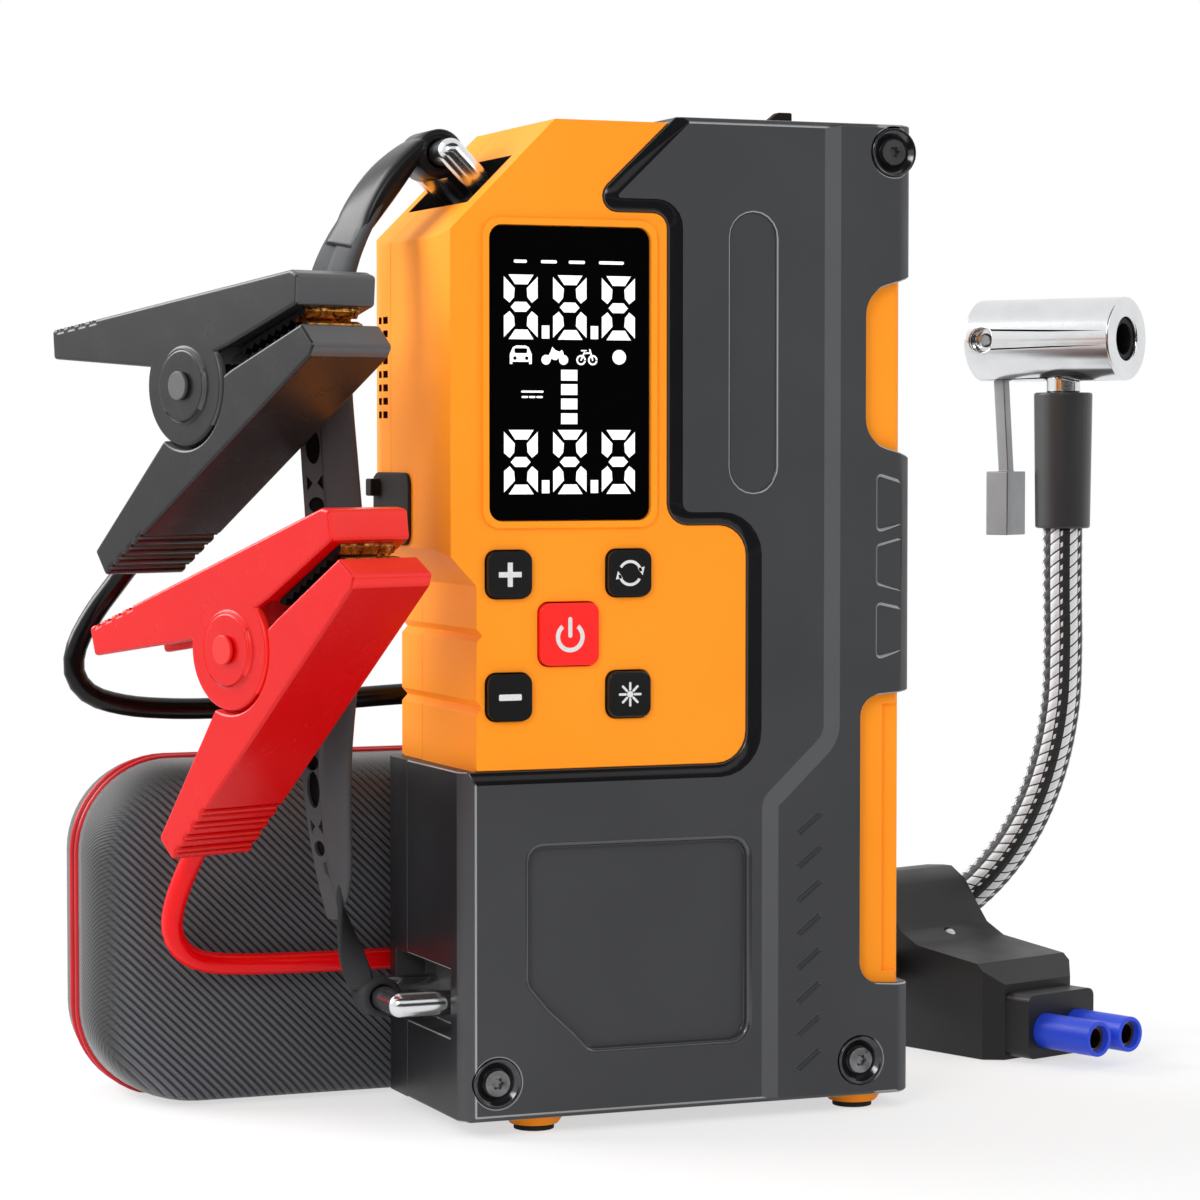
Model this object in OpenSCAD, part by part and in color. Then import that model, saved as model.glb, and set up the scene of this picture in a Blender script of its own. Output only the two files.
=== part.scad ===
// Jump starter pack with a built-in air pump, its clamp leads, air hose and storage case.
// Millimetres, +Z up, the display faces -Y. The unit's own centre line is x = 0, y = 0 before
// place_all() moves the whole part to its reference point.

/* [Unit] */
// Distance from the centre line to the display-side wall of the orange shell
left_reach = 59.5; // [56:0.5:64]
// Distance from the centre line to the right face of the guard
right_reach = 57; // [54:0.5:62]
// Depth of the unit over both guards
unit_d = 55; // [52:1:60]
// Height of the unit without its feet
unit_h = 224.5; // [216:0.5:236]
// Height of one foot with its rubber pad
foot_h = 3.5; // [3:0.5:6]
// Distance from the front of the front guard to the joint between the two halves
seam_depth = 38.5; // [35:0.5:42]
// Wall thickness of the orange shells
shell_wall = 2.5; // [2:0.1:3]

/* [Guard] */
// Thickness of the guard's front and back plates
guard_skin = 3.4; // [3:0.1:4.5]
// How far the guard stands proud of the orange face
guard_proud = 2; // [1.6:0.1:2.4]
// Thickness of the guard's side, top and bottom walls
guard_side = 2.6; // [2.2:0.1:3.2]
// Distance from the centre line to the guard's left face
guard_left_reach = 55.8; // [54.8:0.1:56.8]
// Distance from the display window down to the top of the guard's left wall
boot_drop = 55.8; // [54:0.1:57]
// Width of the bright bevel along the guard's inner edge
bevel_w = 2.9; // [2:0.1:3.2]
// Radius of the guard's upright right corners
corner_r = 9; // [7:0.5:10]
// Gap between the guard and the shell under it
fit = 0.15; // [0.1:0.05:0.3]

/* [Display] */
// Width of the display window
display_w = 38.4; // [36:0.1:40]
// Height of the display window
display_h = 65.3; // [60:0.1:68]
// Distance from the shell's left wall to the window
display_inset = 10.6; // [10:0.1:12]
// Distance from the top of the unit down to the window's lower edge
display_drop = 90.5; // [89:0.5:92]
// Thickness of the window
lens_t = 1.2; // [1:0.1:1.5]

/* [Buttons] */
// Side of a small button
button_w = 10.4; // [9:0.1:11]
// Side of the power button
power_w = 14; // [12:0.1:15]
// Travel of every button
button_travel = 0.8; // [0.4:0.1:1]
// Gap round a button in its hole
button_gap = 0.25; // [0.2:0.05:0.4]
// How far a button stands out of the shell
button_proud = 1.4; // [1.2:0.1:2]

/* [Ports] */
// Length of the port cover along the side
port_l = 25; // [24:0.5:26]
// Height of the port cover
port_h = 16.5; // [15:0.5:18]
// Diameter of the air outlet's hose nut
outlet_d = 13; // [12.5:0.5:15]

/* [Strap bars] */
// Diameter of the upper strap bar
upper_bar_d = 6; // [5:0.5:6.5]
// Diameter of the lower strap bar
lower_bar_d = 5.5; // [4.5:0.5:6]
// Width of the carry strap
strap_w = 13; // [11:1:14]
// Thickness of the carry strap
strap_t = 2.4; // [2:0.2:3]

/* [Inside] */
// Diameter of one battery cell
cell_d = 22; // [18:1:22]
// Length of one battery cell
cell_l = 60; // [55:1:62]
// Number of battery cells
cells = 4; // [3:1:4]
// Tooth module of the pump gears
gear_module = 0.8; // [0.7:0.05:0.85]
// Number of teeth on the motor pinion
pinion_teeth = 12; // [10:1:14]
// Number of teeth on the crank gear
crank_teeth = 36; // [30:2:38]
// Distance from the crank gear's axis to its crank pin
crank_throw = 5; // [3:0.5:6]
// Bore of the pump cylinder
pump_bore = 16; // [12:0.5:17]

/* [Clamps] */
// Width of a clamp across its arms
clamp_w = 22; // [20:1:26]
// Thickness of a clamp arm's plastic
clamp_wall = 2.5; // [2:0.1:3]
// Diameter of the clamp pivot pin
clamp_pin_d = 4; // [3:0.5:5]
// Diameter of each clamp lead
lead_d = 5; // [4:0.5:5.5]

/* [Smart box] */
// Length of the smart box
box_l = 52; // [50:1:58]
// Width of the smart box
box_w = 32; // [30:1:36]
// Height of the smart box over its cable neck
box_h = 43; // [41:1:46]
// Diameter of one plug tube
plug_d = 8.8; // [8:0.1:9.4]
// Distance between the two plug contacts
plug_pitch = 11.5; // [10.5:0.1:12]
// Bore of one plug contact
contact_bore = 5; // [4:0.1:5.4]

/* [Air hose] */
// Diameter of the braided hose
hose_d = 10.8; // [9:0.2:11]
// Diameter of the hose sleeve under the chuck
sleeve_d = 15.5; // [14:0.5:17]
// Length of the hose sleeve
sleeve_l = 36; // [30:1:40]
// Diameter of the chuck barrel
barrel_d = 22; // [21:0.5:24]
// Length of the chuck barrel
barrel_l = 43; // [40:1:46]
// Bore of the chuck for a tyre valve
valve_bore = 8.2; // [7.8:0.1:8.6]

/* [Case] */
// Width of the storage case
case_w = 140; // [132:1:150]
// Height of the storage case
case_h = 80; // [74:1:82]
// Depth of each half of the storage case
case_half = 22; // [18:1:26]
// Wall thickness of the storage case
case_wall = 2.2; // [1.8:0.1:3]
// Corner radius of the storage case
case_r = 22; // [16:1:26]

/* [Hidden] */
$fn = 40;
eps = 0.01;

orange = "#FF9226";
guard_grey = "#454648";
black = "#222222";
glossy_black = "#161616";
clamp_black = "#4A4A4C";
clamp_red = "#DE1420";
steel = "#C4C4C6";
copper = "#B4722F";
blue = "#2440C8";
brass = "#C9A24A";
rubber_black = "#1D1D1F";

// Unit faces
left_x = -left_reach;
right_x = right_reach;
front_y = -unit_d / 2;
back_y = unit_d / 2;
seam_y = front_y + seam_depth;
base_z = foot_h;
top_z = foot_h + unit_h;
guard_left = -guard_left_reach;
face_y = front_y + guard_proud;
rear_face_y = back_y - guard_proud;
under_y = front_y + guard_skin;
rear_under_y = back_y - guard_skin;
cavity_y = under_y + shell_wall;
rear_cavity_y = rear_under_y - shell_wall;
shell_right = right_x - guard_side;
shell_base = base_z + guard_side;
shell_top = top_z - guard_side / 2;
display_z = top_z - display_drop;
boot_top = display_z - boot_drop;

// Left side of the orange shell: top corner cut, grip and the notch behind the lower bar
corner_cut = 26.3;
grip_depth = 7.5;
grip_x = left_x + grip_depth;
grip_drop = 14.5;
grip_top = display_z - grip_drop;
grip_slope = 8;
groove_depth = 1.4;
groove_half = 1.5;
groove_zs = [grip_top - 11, grip_top - 27];
notch_depth = 4.5;
notch_x = grip_x + notch_depth;
notch_z = [17, 40];
edge_taper = 6.5;
edge_step = 1.5;

// Inner edge of the guard, as distances from the right face and heights
shoulder_z = top_z - 21.5;
panel_z = display_z - 1.3;
guard_path = concat(
    [[right_x - 59.2, top_z + 2]],
    corner([right_x - 59.2, top_z + 2], [right_x - 83.8, shoulder_z, 3.4], [right_x - 63, shoulder_z]),
    corner([right_x - 83.8, shoulder_z], [right_x - 63, shoulder_z, 3.5], [right_x - 63, panel_z]),
    corner([right_x - 63, shoulder_z], [right_x - 63, panel_z, 5], [right_x - 43.4, panel_z]),
    corner([right_x - 63, panel_z], [right_x - 43.4, panel_z, 7], [right_x - 43.4, boot_top]),
    corner([right_x - 43.4, panel_z], [right_x - 43.4, boot_top, 7.5], [left_x, boot_top]),
    [[left_x - 8, boot_top]]);

// Band that steps the guard's right part down, as its left edge
band_step = 0.7;
band_w = 4.5;
band_z = [boot_top - 8.2, boot_top + 6.3];
band_path = concat(
    [[right_x - 24.9, top_z + 2]],
    corner([right_x - 24.9, top_z], [right_x - 24.9, band_z[1], 5], [right_x - 40.4, band_z[0]]),
    corner([right_x - 24.9, band_z[1]], [right_x - 40.4, band_z[0], 5], [right_x - 40.4, base_z]),
    [[right_x - 40.4, base_z - 2]]);
step_y = front_y + band_step;
rear_step_y = back_y - band_step;

// Scratch-like grooves up the guard's right part, and the side marks' edges below the top
scratches = 8;
scratch_pitch = (boot_top - base_z - 23.6) / (scratches - 1);
mark_x = [right_x - 11, right_x - 1.6];
mark_drops = [[80.4, 83.2, 90.8, 93.8], [97, 94.6, 108, 105.8], [110.2, 112.2, 120, 123.2]];

// Screws as [x, height, on the stepped part of the guard]
front_screws = [[right_x - 6.9, top_z - 6.4, 1], [guard_left + 8, base_z + 8.7, 0],
    [right_x - 14.8, base_z + 8.2, 1]];
rear_screws = front_screws;
screw_r = 1.5;
screw_hole_r = 1.55;
screw_l = 14;
head_r = 2.9;
head_h = 1.5;
cup_r = 5.6;
cup_t = 2.2;
cup_seat = 1.9;
cup_floor = 0.5;
boss_r = 4;

// Window cut-outs that show the shell on the right, as [low z, high z, inset, slope, radius]
windows = [[top_z - 73, top_z - 38.5, 13.8, 5.5, 7], [base_z + 26.3, boot_top + 14.5, 15, 1.5, 5]];
rebate_x = shell_right - 5.5;
rebate_t = 1.4;

// Display and buttons
display_x = left_x + display_inset;
display_mid = display_x + display_w / 2;
bezel_w = 1.8;
bezel_proud = 0.8;
lens_gap = 0.2;
lens_ledge = 2;
lens_y = face_y + 0.1;
button_rows = [display_z - 12, display_z - 39.3];
button_cols = [left_x + 15, left_x + 43.8];
power_x = left_x + 29.3;
power_z = display_z - 25.5;
switch_w = 6;
plunger_r = 1.6;
plunger_h = 0.6;
button_flange = 1.2;
flange_t = 1;
flange_y = cavity_y + 0.3;
switch_top_y = flange_y + flange_t + button_travel + 0.1;
board_y = switch_top_y + 2;
board_t = 1.6;
buttons = [["plus_button", button_cols[0], button_rows[0], button_w],
    ["mode_button", button_cols[1], button_rows[0], button_w],
    ["minus_button", button_cols[0], button_rows[1], button_w],
    ["lamp_button", button_cols[1], button_rows[1], button_w],
    ["power_button", power_x, power_z, power_w]];
module_y = lens_y + lens_t + 0.3;
board_x = [grip_x + shell_wall + 0.5, display_x + display_w + 7];
board_z = [display_z - 45.5, display_z + display_h + 4];
board_corner = 14;
post_r = 2.4;
board_posts = [[power_x, board_z[0] + 3.5], [board_x[1] - 3, board_z[0] + 3.5],
    [board_x[1] - 3, board_z[1] - 3]];

// Two columns of cooling slots in the left side
vent_rows = 8;
vent_pitch = 3.1;
vent_z = display_z + 23.7;
vent_ys = [seam_y + 3.8, seam_y + 8.2];
vent_slot = [3.2, 1.5];

// Port cover on the left side
port_y = -3.5;
port_z = display_z - 6;
cover_t = 0.8;
cover_lip = 0.7;
cover_gap = 0.3;
cover_off = 0.05;
tab_out = 3;
socket_wall = 0.9;
socket_l = plug_pitch + plug_d + 2 * socket_wall + 0.4;
socket_h = plug_d + 2 * socket_wall + 1;
socket_depth = 18;
tube_reach = 14;
pin_l = 9;

// Top cover over the charging sockets
top_cover_x = [right_x - 39, right_x - 13];
top_cover_y = [-7, 5];
top_hole_x = [top_cover_x[0] + 2.5, top_cover_x[1] - 2.5];
top_hole_y = [top_cover_y[0] + 1.6, top_cover_y[1] - 1.6];
top_lip = 1;
fin_h = 4.2;
fin_x = top_cover_x[0] + 8;
usb_w = 9;
usb_depth = 15.5;

// Strap bars
wall_mid = [left_x + corner_cut / 2, shell_top - corner_cut / 2];
upper_bar_out = 9;
upper_bar_at = [wall_mid[0] - upper_bar_out * cos(45), wall_mid[1] + upper_bar_out * cos(45)];
upper_bar_y = [-11, 14];
upper_pocket_y = [-19, 21];
upper_pocket_l = 15;
upper_pocket_depth = 7;
lower_bar_out = 10.5;
lower_bar_x = guard_left - lower_bar_out;
lower_bar_y = [-14.5, 12];
lower_bar_z = 29;
lower_pocket_y = [-18.5, seam_y + 8];
lower_pocket_z = [21.5, 37];
lower_leg_end = notch_x - 1.1;

// Carry strap: its bends as [distance out from the left wall, height over the lower bar, roll in
// degrees] for bars strap_span apart, and its centre line as [x, z, roll] on the plane y = strap_y
strap_y = 2;
strap_span = 190.9;
strap_bends = [[4.5, 185, -12], [11.5, 175, -26], [16.5, 164, -40], [18.5, 151, -52], [18.5, 136, -60],
    [17.5, 121, -65], [16.5, 106, -65], [16.5, 90, -62], [17.5, 73, -58], [18.5, 56, -48],
    [18, 41, -34], [16.5, 27, -20], [14, 14, -8]];
strap_stretch = (upper_bar_at[1] - lower_bar_z) / strap_span;
strap_points = concat([[upper_bar_at[0] - 3.6, upper_bar_at[1] + 2.6, 0]],
    [for (b = strap_bends) [left_x - b[0], lower_bar_z + strap_stretch * b[1], b[2]]],
    [[lower_bar_x - 3.4, lower_bar_z + 1.6, 0]]);

// Pump
pump_y = -8;
crank_x = 10;
crank_z = top_z - 44;
gear_t = 4;
gear_y = pump_y + 3.4;
backlash = 0.15;
pinion_r = gear_module * pinion_teeth / 2;
crank_r = gear_module * crank_teeth / 2;
gear_distance = pinion_r + crank_r + backlash;
motor_z = crank_z - gear_distance;
frame_t = 2.4;
frame_y = gear_y + gear_t + 0.6;
motor_r = 12;
motor_y = frame_y + frame_t;
motor_l = rear_cavity_y - motor_y - 0.5;
axle_r = 2;
shaft_r = 1.2;
run = 0.05;
cylinder_wall = 2;
rod_t = 3;
rod_gap = 0.3;
rod_end_x = crank_x + crank_throw;
crank_pin_y = pump_y + rod_t / 2 + rod_gap;
piston_l = 8;
head_space = 3;
cylinder_x = [crank_x + crank_r + gear_module + 1,
    crank_x + crank_r + gear_module + 1.5 + 2 * crank_throw + piston_l + head_space];
piston_x = cylinder_x[1] - head_space - piston_l;

// Battery
cell_pitch = cell_d + 1.2;
cell_mid_x = (notch_x + shell_right) / 2;
cradle_t = 3;
cell_z = front_screws[1][1] + boss_r + cradle_t + 0.5;
cradle_x = [notch_x + shell_wall + 0.2, shell_right - shell_wall - 0.2];
// Screws that join the shells at the left: beside the display, and above both the cells and the guard
lower_screw_z = max(cell_z + cell_l + cradle_t + 1 + boss_r, boot_top + 2 + boss_r);
shell_screws = [[left_x + 8.5, grip_top + 76], [grip_x + 7, lower_screw_z]];

// Lamp on the top
lamp_x = [left_x + corner_cut + 6, right_x - 66];
lamp_w = 9;
lamp_y = seam_y - 8;
lamp_t = 1.5;

// Air outlet low at the back
outlet_x = 46;
outlet_z = 50;
outlet_end_y = back_y + 8.5;

// Feet
foot_in = 9;
foot_spots = [for (x = [guard_left + 20, right_x - 13], y = [front_y + foot_in, back_y - foot_in]) [x, y]];
pad_t = 1.3;

// Clamps: pivot, turn about the vertical and pitch of each
clamp_yaw = -69;
black_pivot = [-100.7, 6, 167.4];
black_pitch = 20;
red_pivot = [-95, -8.8, 109.4];
red_pitch = 31.5;
shoulder_r = 13.5;
neck_gap = 0.3;
cap_r = 8.2;
cap_t = 0.8;
jaw_start = 16;
arm_outline = [[-43.2, 30], [-45, 23.5], [-6, 6.4], [0, 3], [13, 3], [18, 2.6], [43.6, 2.2],
    [46.2, 8.1], [44.1, 9.9]];
arm_slope = (arm_outline[0][1] - arm_outline[8][1]) / (arm_outline[8][0] - arm_outline[0][0]);
strip_x = [17.5, 42];
strip_teeth = 9;
strip_w = 15;
spring_wire = 1.5;
spring_r = 4.4;
spring_turns = 4;

// Smart box on the floor, its own frame: x away from the plug, y across
box_at = [117.9, 26.2];
box_yaw = atan2(0.948, -0.3156);
box_split = 11;
box_wall = 2;
collar_l = 8;
collar_w = 24;
collar_h = 16;
plug_z = 7.8;
plug_l = 18;
plug_block = 5;
contact_l = 12;
led_r = 1.5;
led_at = [box_l - 21, 0, box_h - 18.5];
gland_d = lead_d + 3;
gland_l = 6;
black_gland = [box_l - 6, 31];
red_gland = [box_l - 15, 20];

// Air hose and chuck
hose_top = [149.4, 71.2];
sleeve_z = 132.2;
chuck_z = sleeve_z + sleeve_l + 3 + barrel_d / 2;
neck_r = 4.5;
barrel_yaw = atan2(-0.843, 0.537);
barrel_back = 24.2;
lever_at = 19;
lever_pin_r = 1.5;
lever_w = 3.2;
lever_bend = 35;
lever_drop = 52;

// Storage case behind the unit
case_x = -122;
case_y = back_y + 7;
case_lip = 2;
case_gap = 0.4;
case_seam_y = case_y + case_half + case_lip;

// Routes of the free leads and the hose
black_route = [[-110, 30.2, 133.4], [-111.4, 33.9, 130.9], [-112.8, 37.5, 128.3], [-116.2, 43, 122],
    [-120.4, 46.8, 115], [-124, 48.4, 107.5], [-124.4, 49, 101], [-120.5, 49.2, 96],
    [-112.5, 49, 93.4], [-103, 48.4, 92.4], [-92, 47, 92.2], [-78, 44.6, 92.8], [-62, 41.6, 94],
    [-46, 39.2, 95], [-28, 38, 95.5], [-10, 37.8, 95], [8, 38, 93], [24, 38.5, 88.5], [38, 39.5, 81],
    [50, 41.5, 71.5], [59, 45, 61], [66, 49.5, 51], [72, 55, 41.5], [75.6, 59.2, 34.5],
    [78.7, 61.6, 31], [82.5, 62.9, 31]];
red_route = [[-101.7, 8.6, 70.9], [-102.9, 11.7, 67.6], [-104, 14.7, 64.4], [-106, 18.9, 57.5],
    [-107.9, 22, 50], [-108, 24.6, 43.4], [-105, 27, 38], [-99, 29.4, 34.8], [-90, 30.7, 33.6],
    [-78, 31, 33.2], [-64, 31, 33], [-50, 31, 33], [-34, 31, 32.6], [-18, 31, 32], [-2, 31, 31.4],
    [14, 31, 30.6], [30, 31, 29.6], [44, 32, 28.4], [56, 35.5, 26.8], [66, 41, 25],
    [74.5, 48.2, 22], [81.5, 53.1, 20], [85.3, 54.4, 20]];
hose_route = [[46, 36, 50], [46, 46, 50], [47, 57, 48.5], [50, 68, 44.5], [56, 78, 38.5],
    [65, 86.5, 31.5], [77, 92.5, 25.5], [90, 95.5, 22], [103, 95, 21.5], [115, 91.5, 24.5],
    [125.5, 86.5, 31], [134.5, 81, 41], [141.5, 76.5, 53.5], [146.3, 73.4, 68], [149, 71.6, 84],
    [149.6, 71.2, 100], [149.4, 71.2, 116], [149.4, 71.2, 132.2]];

// Reference point: middle of the footprint of the unit and its case, without the lead set and the hose
foot_low_x = case_x;
foot_high_x = right_x;
foot_low_y = front_y - 0.3;
foot_high_y = case_seam_y + case_lip + case_half + case_gap;

// ---------- outlines and sweeps ----------

function unit(v) = v / norm(v);

// Points of a rounded corner b = [x, y, radius] between the points a and c
function corner(a, b, c, steps = 6) =
    let (p = [b[0], b[1]], u = unit([a[0], a[1]] - p), v = unit([c[0], c[1]] - p),
        half = acos(u * v) / 2, m = unit(u + v), centre = p + m * b[2] / sin(half),
        s = p + u * b[2] / tan(half) - centre, e = p + v * b[2] / tan(half) - centre,
        a0 = atan2(s[1], s[0]), turn = atan2(e[1], e[0]) - a0,
        sweep = turn > 180 ? turn - 360 : turn < -180 ? turn + 360 : turn)
    [for (k = [0:steps]) centre + b[2] * [cos(a0 + sweep * k / steps), sin(a0 + sweep * k / steps)]];

// Closed outline from corners [x, y, radius]
function rounded(c, steps = 6) =
    [for (i = [0:len(c) - 1]) each corner(c[(i + len(c) - 1) % len(c)], c[i], c[(i + 1) % len(c)], steps)];

// Rectangle from low to high corner with rounded corners
function round_rect(low, high, r, steps = 5) =
    rounded([[low[0], low[1], r], [high[0], low[1], r], [high[0], high[1], r], [low[0], high[1], r]], steps);

function left_of(d) = [-d[1], d[0]];

// Sideways direction at a path's point, lengthened so that a shift keeps the edges parallel
function miter(path, i) =
    let (n = len(path), a = i > 0 ? left_of(unit(path[i] - path[i - 1])) : undef,
        b = i < n - 1 ? left_of(unit(path[i + 1] - path[i])) : undef)
    is_undef(a) ? b : is_undef(b) ? a : unit(a + b) / sqrt((1 + a * b) / 2);

function shifted(path, by) = [for (i = [0:len(path) - 1]) path[i] + by * miter(path, i)];

// Closed skin over rings of the same length, ring points counter-clockwise about the way forward
module skin(rings) {
    n = len(rings[0]);
    last = len(rings) - 1;
    polyhedron(
        points = [for (ring = rings) each ring],
        faces = concat(
            [for (i = [0:last - 1], k = [0:n - 1]) [i * n + k, (i + 1) * n + k, (i + 1) * n + (k + 1) % n]],
            [for (i = [0:last - 1], k = [0:n - 1])
                [i * n + k, (i + 1) * n + (k + 1) % n, i * n + (k + 1) % n]],
            [for (k = [1:n - 2]) [0, k, k + 1]],
            [for (k = [1:n - 2]) [last * n, last * n + k + 1, last * n + k]]));
}

// Wedge along a path on an upright plane; section points are [to the left of the path, y]
module edge_sweep(path, section) {
    skin([for (i = [0:len(path) - 1]) [for (s = section)
        let (p = path[i] + s[0] * miter(path, i)) [p[0], s[1], p[1]]]]);
}

function tangent(p, i) =
    i == 0 ? unit(p[1] - p[0]) : i == len(p) - 1 ? unit(p[i] - p[i - 1])
    : unit(unit(p[i + 1] - p[i]) + unit(p[i] - p[i - 1]));

// Normals carried along a path without twist
function normals(p, i = 0, n = [0, 0, 1]) =
    let (t = tangent(p, i), m = n - (n * t) * t, u = norm(m) < 0.1 ? unit(cross(t, [0, 1, 0])) : unit(m))
    i == len(p) - 1 ? [u] : concat([u], normals(p, i + 1, u));

// Round tube of constant diameter along a route
module tube(route, d, sides) {
    ns = normals(route);
    skin([for (i = [0:len(route) - 1])
        let (t = tangent(route, i), b = cross(t, ns[i]), a = 360 / sides)
        [for (k = [0:sides - 1]) route[i] + d / 2 * (cos(a * k) * ns[i] + sin(a * k) * b)]]);
}

// Prism of an [x, z] outline from y0 to y1
module along_y(outline, y0, y1) {
    translate([0, y1, 0]) rotate([90, 0, 0]) linear_extrude(y1 - y0) polygon(outline);
}

// Prism of a [y, z] outline from x0 to x1
module along_x(outline, x0, x1) {
    translate([x0, 0, 0]) rotate([90, 0, 90]) linear_extrude(x1 - x0) polygon(outline);
}

module box_between(low, high) {
    translate(low) cube(high - low);
}

// Cylinder along +Y
module rod_y(at, r, l) {
    translate(at) rotate([-90, 0, 0]) cylinder(r = r, h = l);
}

// Cylinder along +X
module rod_x(at, r, l) {
    translate(at) rotate([0, 90, 0]) cylinder(r = r, h = l);
}

// ---------- unit outlines ----------

// Front outline of the orange shell grown by g
function shell_outline(g = 0) = concat(
    [[grip_x - g, shell_base - g], [shell_right + g, shell_base - g], [shell_right + g, shell_top + g],
        [left_x + corner_cut - g * 0.414, shell_top + g], [left_x - g, shell_top - corner_cut + g * 0.414],
        [left_x - g, grip_top + grip_slope - g * 0.4], [grip_x - g, grip_top - g * 0.4]],
    [for (z = groove_zs) each [[grip_x - g, z + groove_half], [grip_x - g + groove_depth, z],
        [grip_x - g, z - groove_half]]],
    [[grip_x - g, notch_z[1] - g], [notch_x - g, notch_z[1] - g], [notch_x - g, notch_z[0] + g],
        [grip_x - g, notch_z[0] + g]]);

// Front outline of the space inside the shell
function cavity_outline() = let (w = shell_wall, in = grip_x + shell_wall)
    [[in, shell_base + w], [shell_right - w, shell_base + w], [shell_right - w, shell_top - w],
        [left_x + corner_cut + w + upper_pocket_depth, shell_top - w],
        [left_x + w, shell_top - corner_cut - w - upper_pocket_depth],
        [left_x + w, grip_top + grip_slope + w], [in, grip_top + w * 0.4], [in, notch_z[1] + w],
        [notch_x + w, notch_z[1] + w], [notch_x + w, notch_z[0] - w], [in, notch_z[0] - w]];

// Plan outline [x, y] of the shell's front half grown by g; the back half mirrors it
function shell_plan(g = 0) = concat(
    [[left_x - g, seam_y], [left_x - g, face_y + edge_taper],
        [left_x + edge_step - g, face_y - g], [shell_right - corner_r + g, face_y - g]],
    corner([left_x, face_y - g], [shell_right + g, face_y - g, corner_r - guard_side],
        [shell_right + g, seam_y]),
    [[shell_right + g, seam_y]]);

function rear_shell_plan(g = 0) = concat(
    [[shell_right + g, seam_y], [shell_right + g, seam_y + 1]],
    corner([shell_right + g, seam_y], [shell_right + g, rear_face_y + g, corner_r - guard_side],
        [left_x, rear_face_y + g]),
    [[left_x + edge_step - g, rear_face_y + g], [left_x - g, rear_face_y - edge_taper],
        [left_x - g, seam_y]]);

function guard_plan() = concat(
    [[guard_left, seam_y], [guard_left, front_y + 4.5], [guard_left + 2.8, front_y]],
    corner([guard_left, front_y], [right_x, front_y, corner_r], [right_x, seam_y]),
    [[right_x, seam_y]]);

function rear_guard_plan() = concat(
    [[right_x, seam_y]],
    corner([right_x, seam_y], [right_x, back_y, corner_r], [guard_left, back_y]),
    [[guard_left + 2.8, back_y], [guard_left, back_y - 4.5], [guard_left, seam_y]]);

// Region of the front that the guard covers, grown by g
function guard_region(g = 0) = concat(shifted(guard_path, -g),
    [[left_x - 8, base_z], [right_x + 2, base_z], [right_x + 2, top_z + 2]]);

// Region right of the stepped band
function step_region() =
    concat(shifted(band_path, band_w), [[right_x + 3, base_z - 2], [right_x + 3, top_z + 2]]);

module upright(plan, z0, z1) {
    translate([0, 0, z0]) linear_extrude(z1 - z0) polygon(plan);
}

module window_cuts() {
    for (w = windows)
        along_y(rounded([[right_x - w[2], w[0], w[4]], [right_x + 6, w[0] - w[3], 0.01],
            [right_x + 6, w[1] + w[3], 0.01], [right_x - w[2], w[1], w[4]]]), front_y - 1, back_y + 1);
}

module corner_frame() {
    translate([wall_mid[0], 0, wall_mid[1]]) rotate([0, -45, 0]) children();
}

module upper_pocket() {
    corner_frame() box_between([-upper_pocket_l / 2, upper_pocket_y[0], -upper_pocket_depth],
        [upper_pocket_l / 2, upper_pocket_y[1], upper_bar_out + upper_bar_d]);
}

// Pocket for the lower strap bar in the guard's left wall
module lower_pocket() {
    box_between([guard_left - 1, lower_pocket_y[0], lower_pocket_z[0]],
        [lower_leg_end, lower_pocket_y[1], lower_pocket_z[1]]);
}

// Outline of the socket, which the port cover's lip follows, grown by g
function socket_outline(g = 0) =
    let (y = port_y + (port_l - socket_l) / 2, z = port_z + (port_h - socket_h) / 2)
    round_rect([y - g, z - g], [y + socket_l + g, z + socket_h + g], 2 + g);

module port_hole() {
    along_x(socket_outline(cover_gap), left_x - 2, left_x + 2 * shell_wall);
}

module screw_bosses(list, y0, y1) {
    for (s = list) rod_y([s[0], y0, s[1]], boss_r, y1 - y0);
}

module screw_holes(list, y0, y1, r = screw_hole_r) {
    for (s = list) rod_y([s[0], y0, s[1]], r, y1 - y0);
}

// ---------- unit casings ----------

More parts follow.
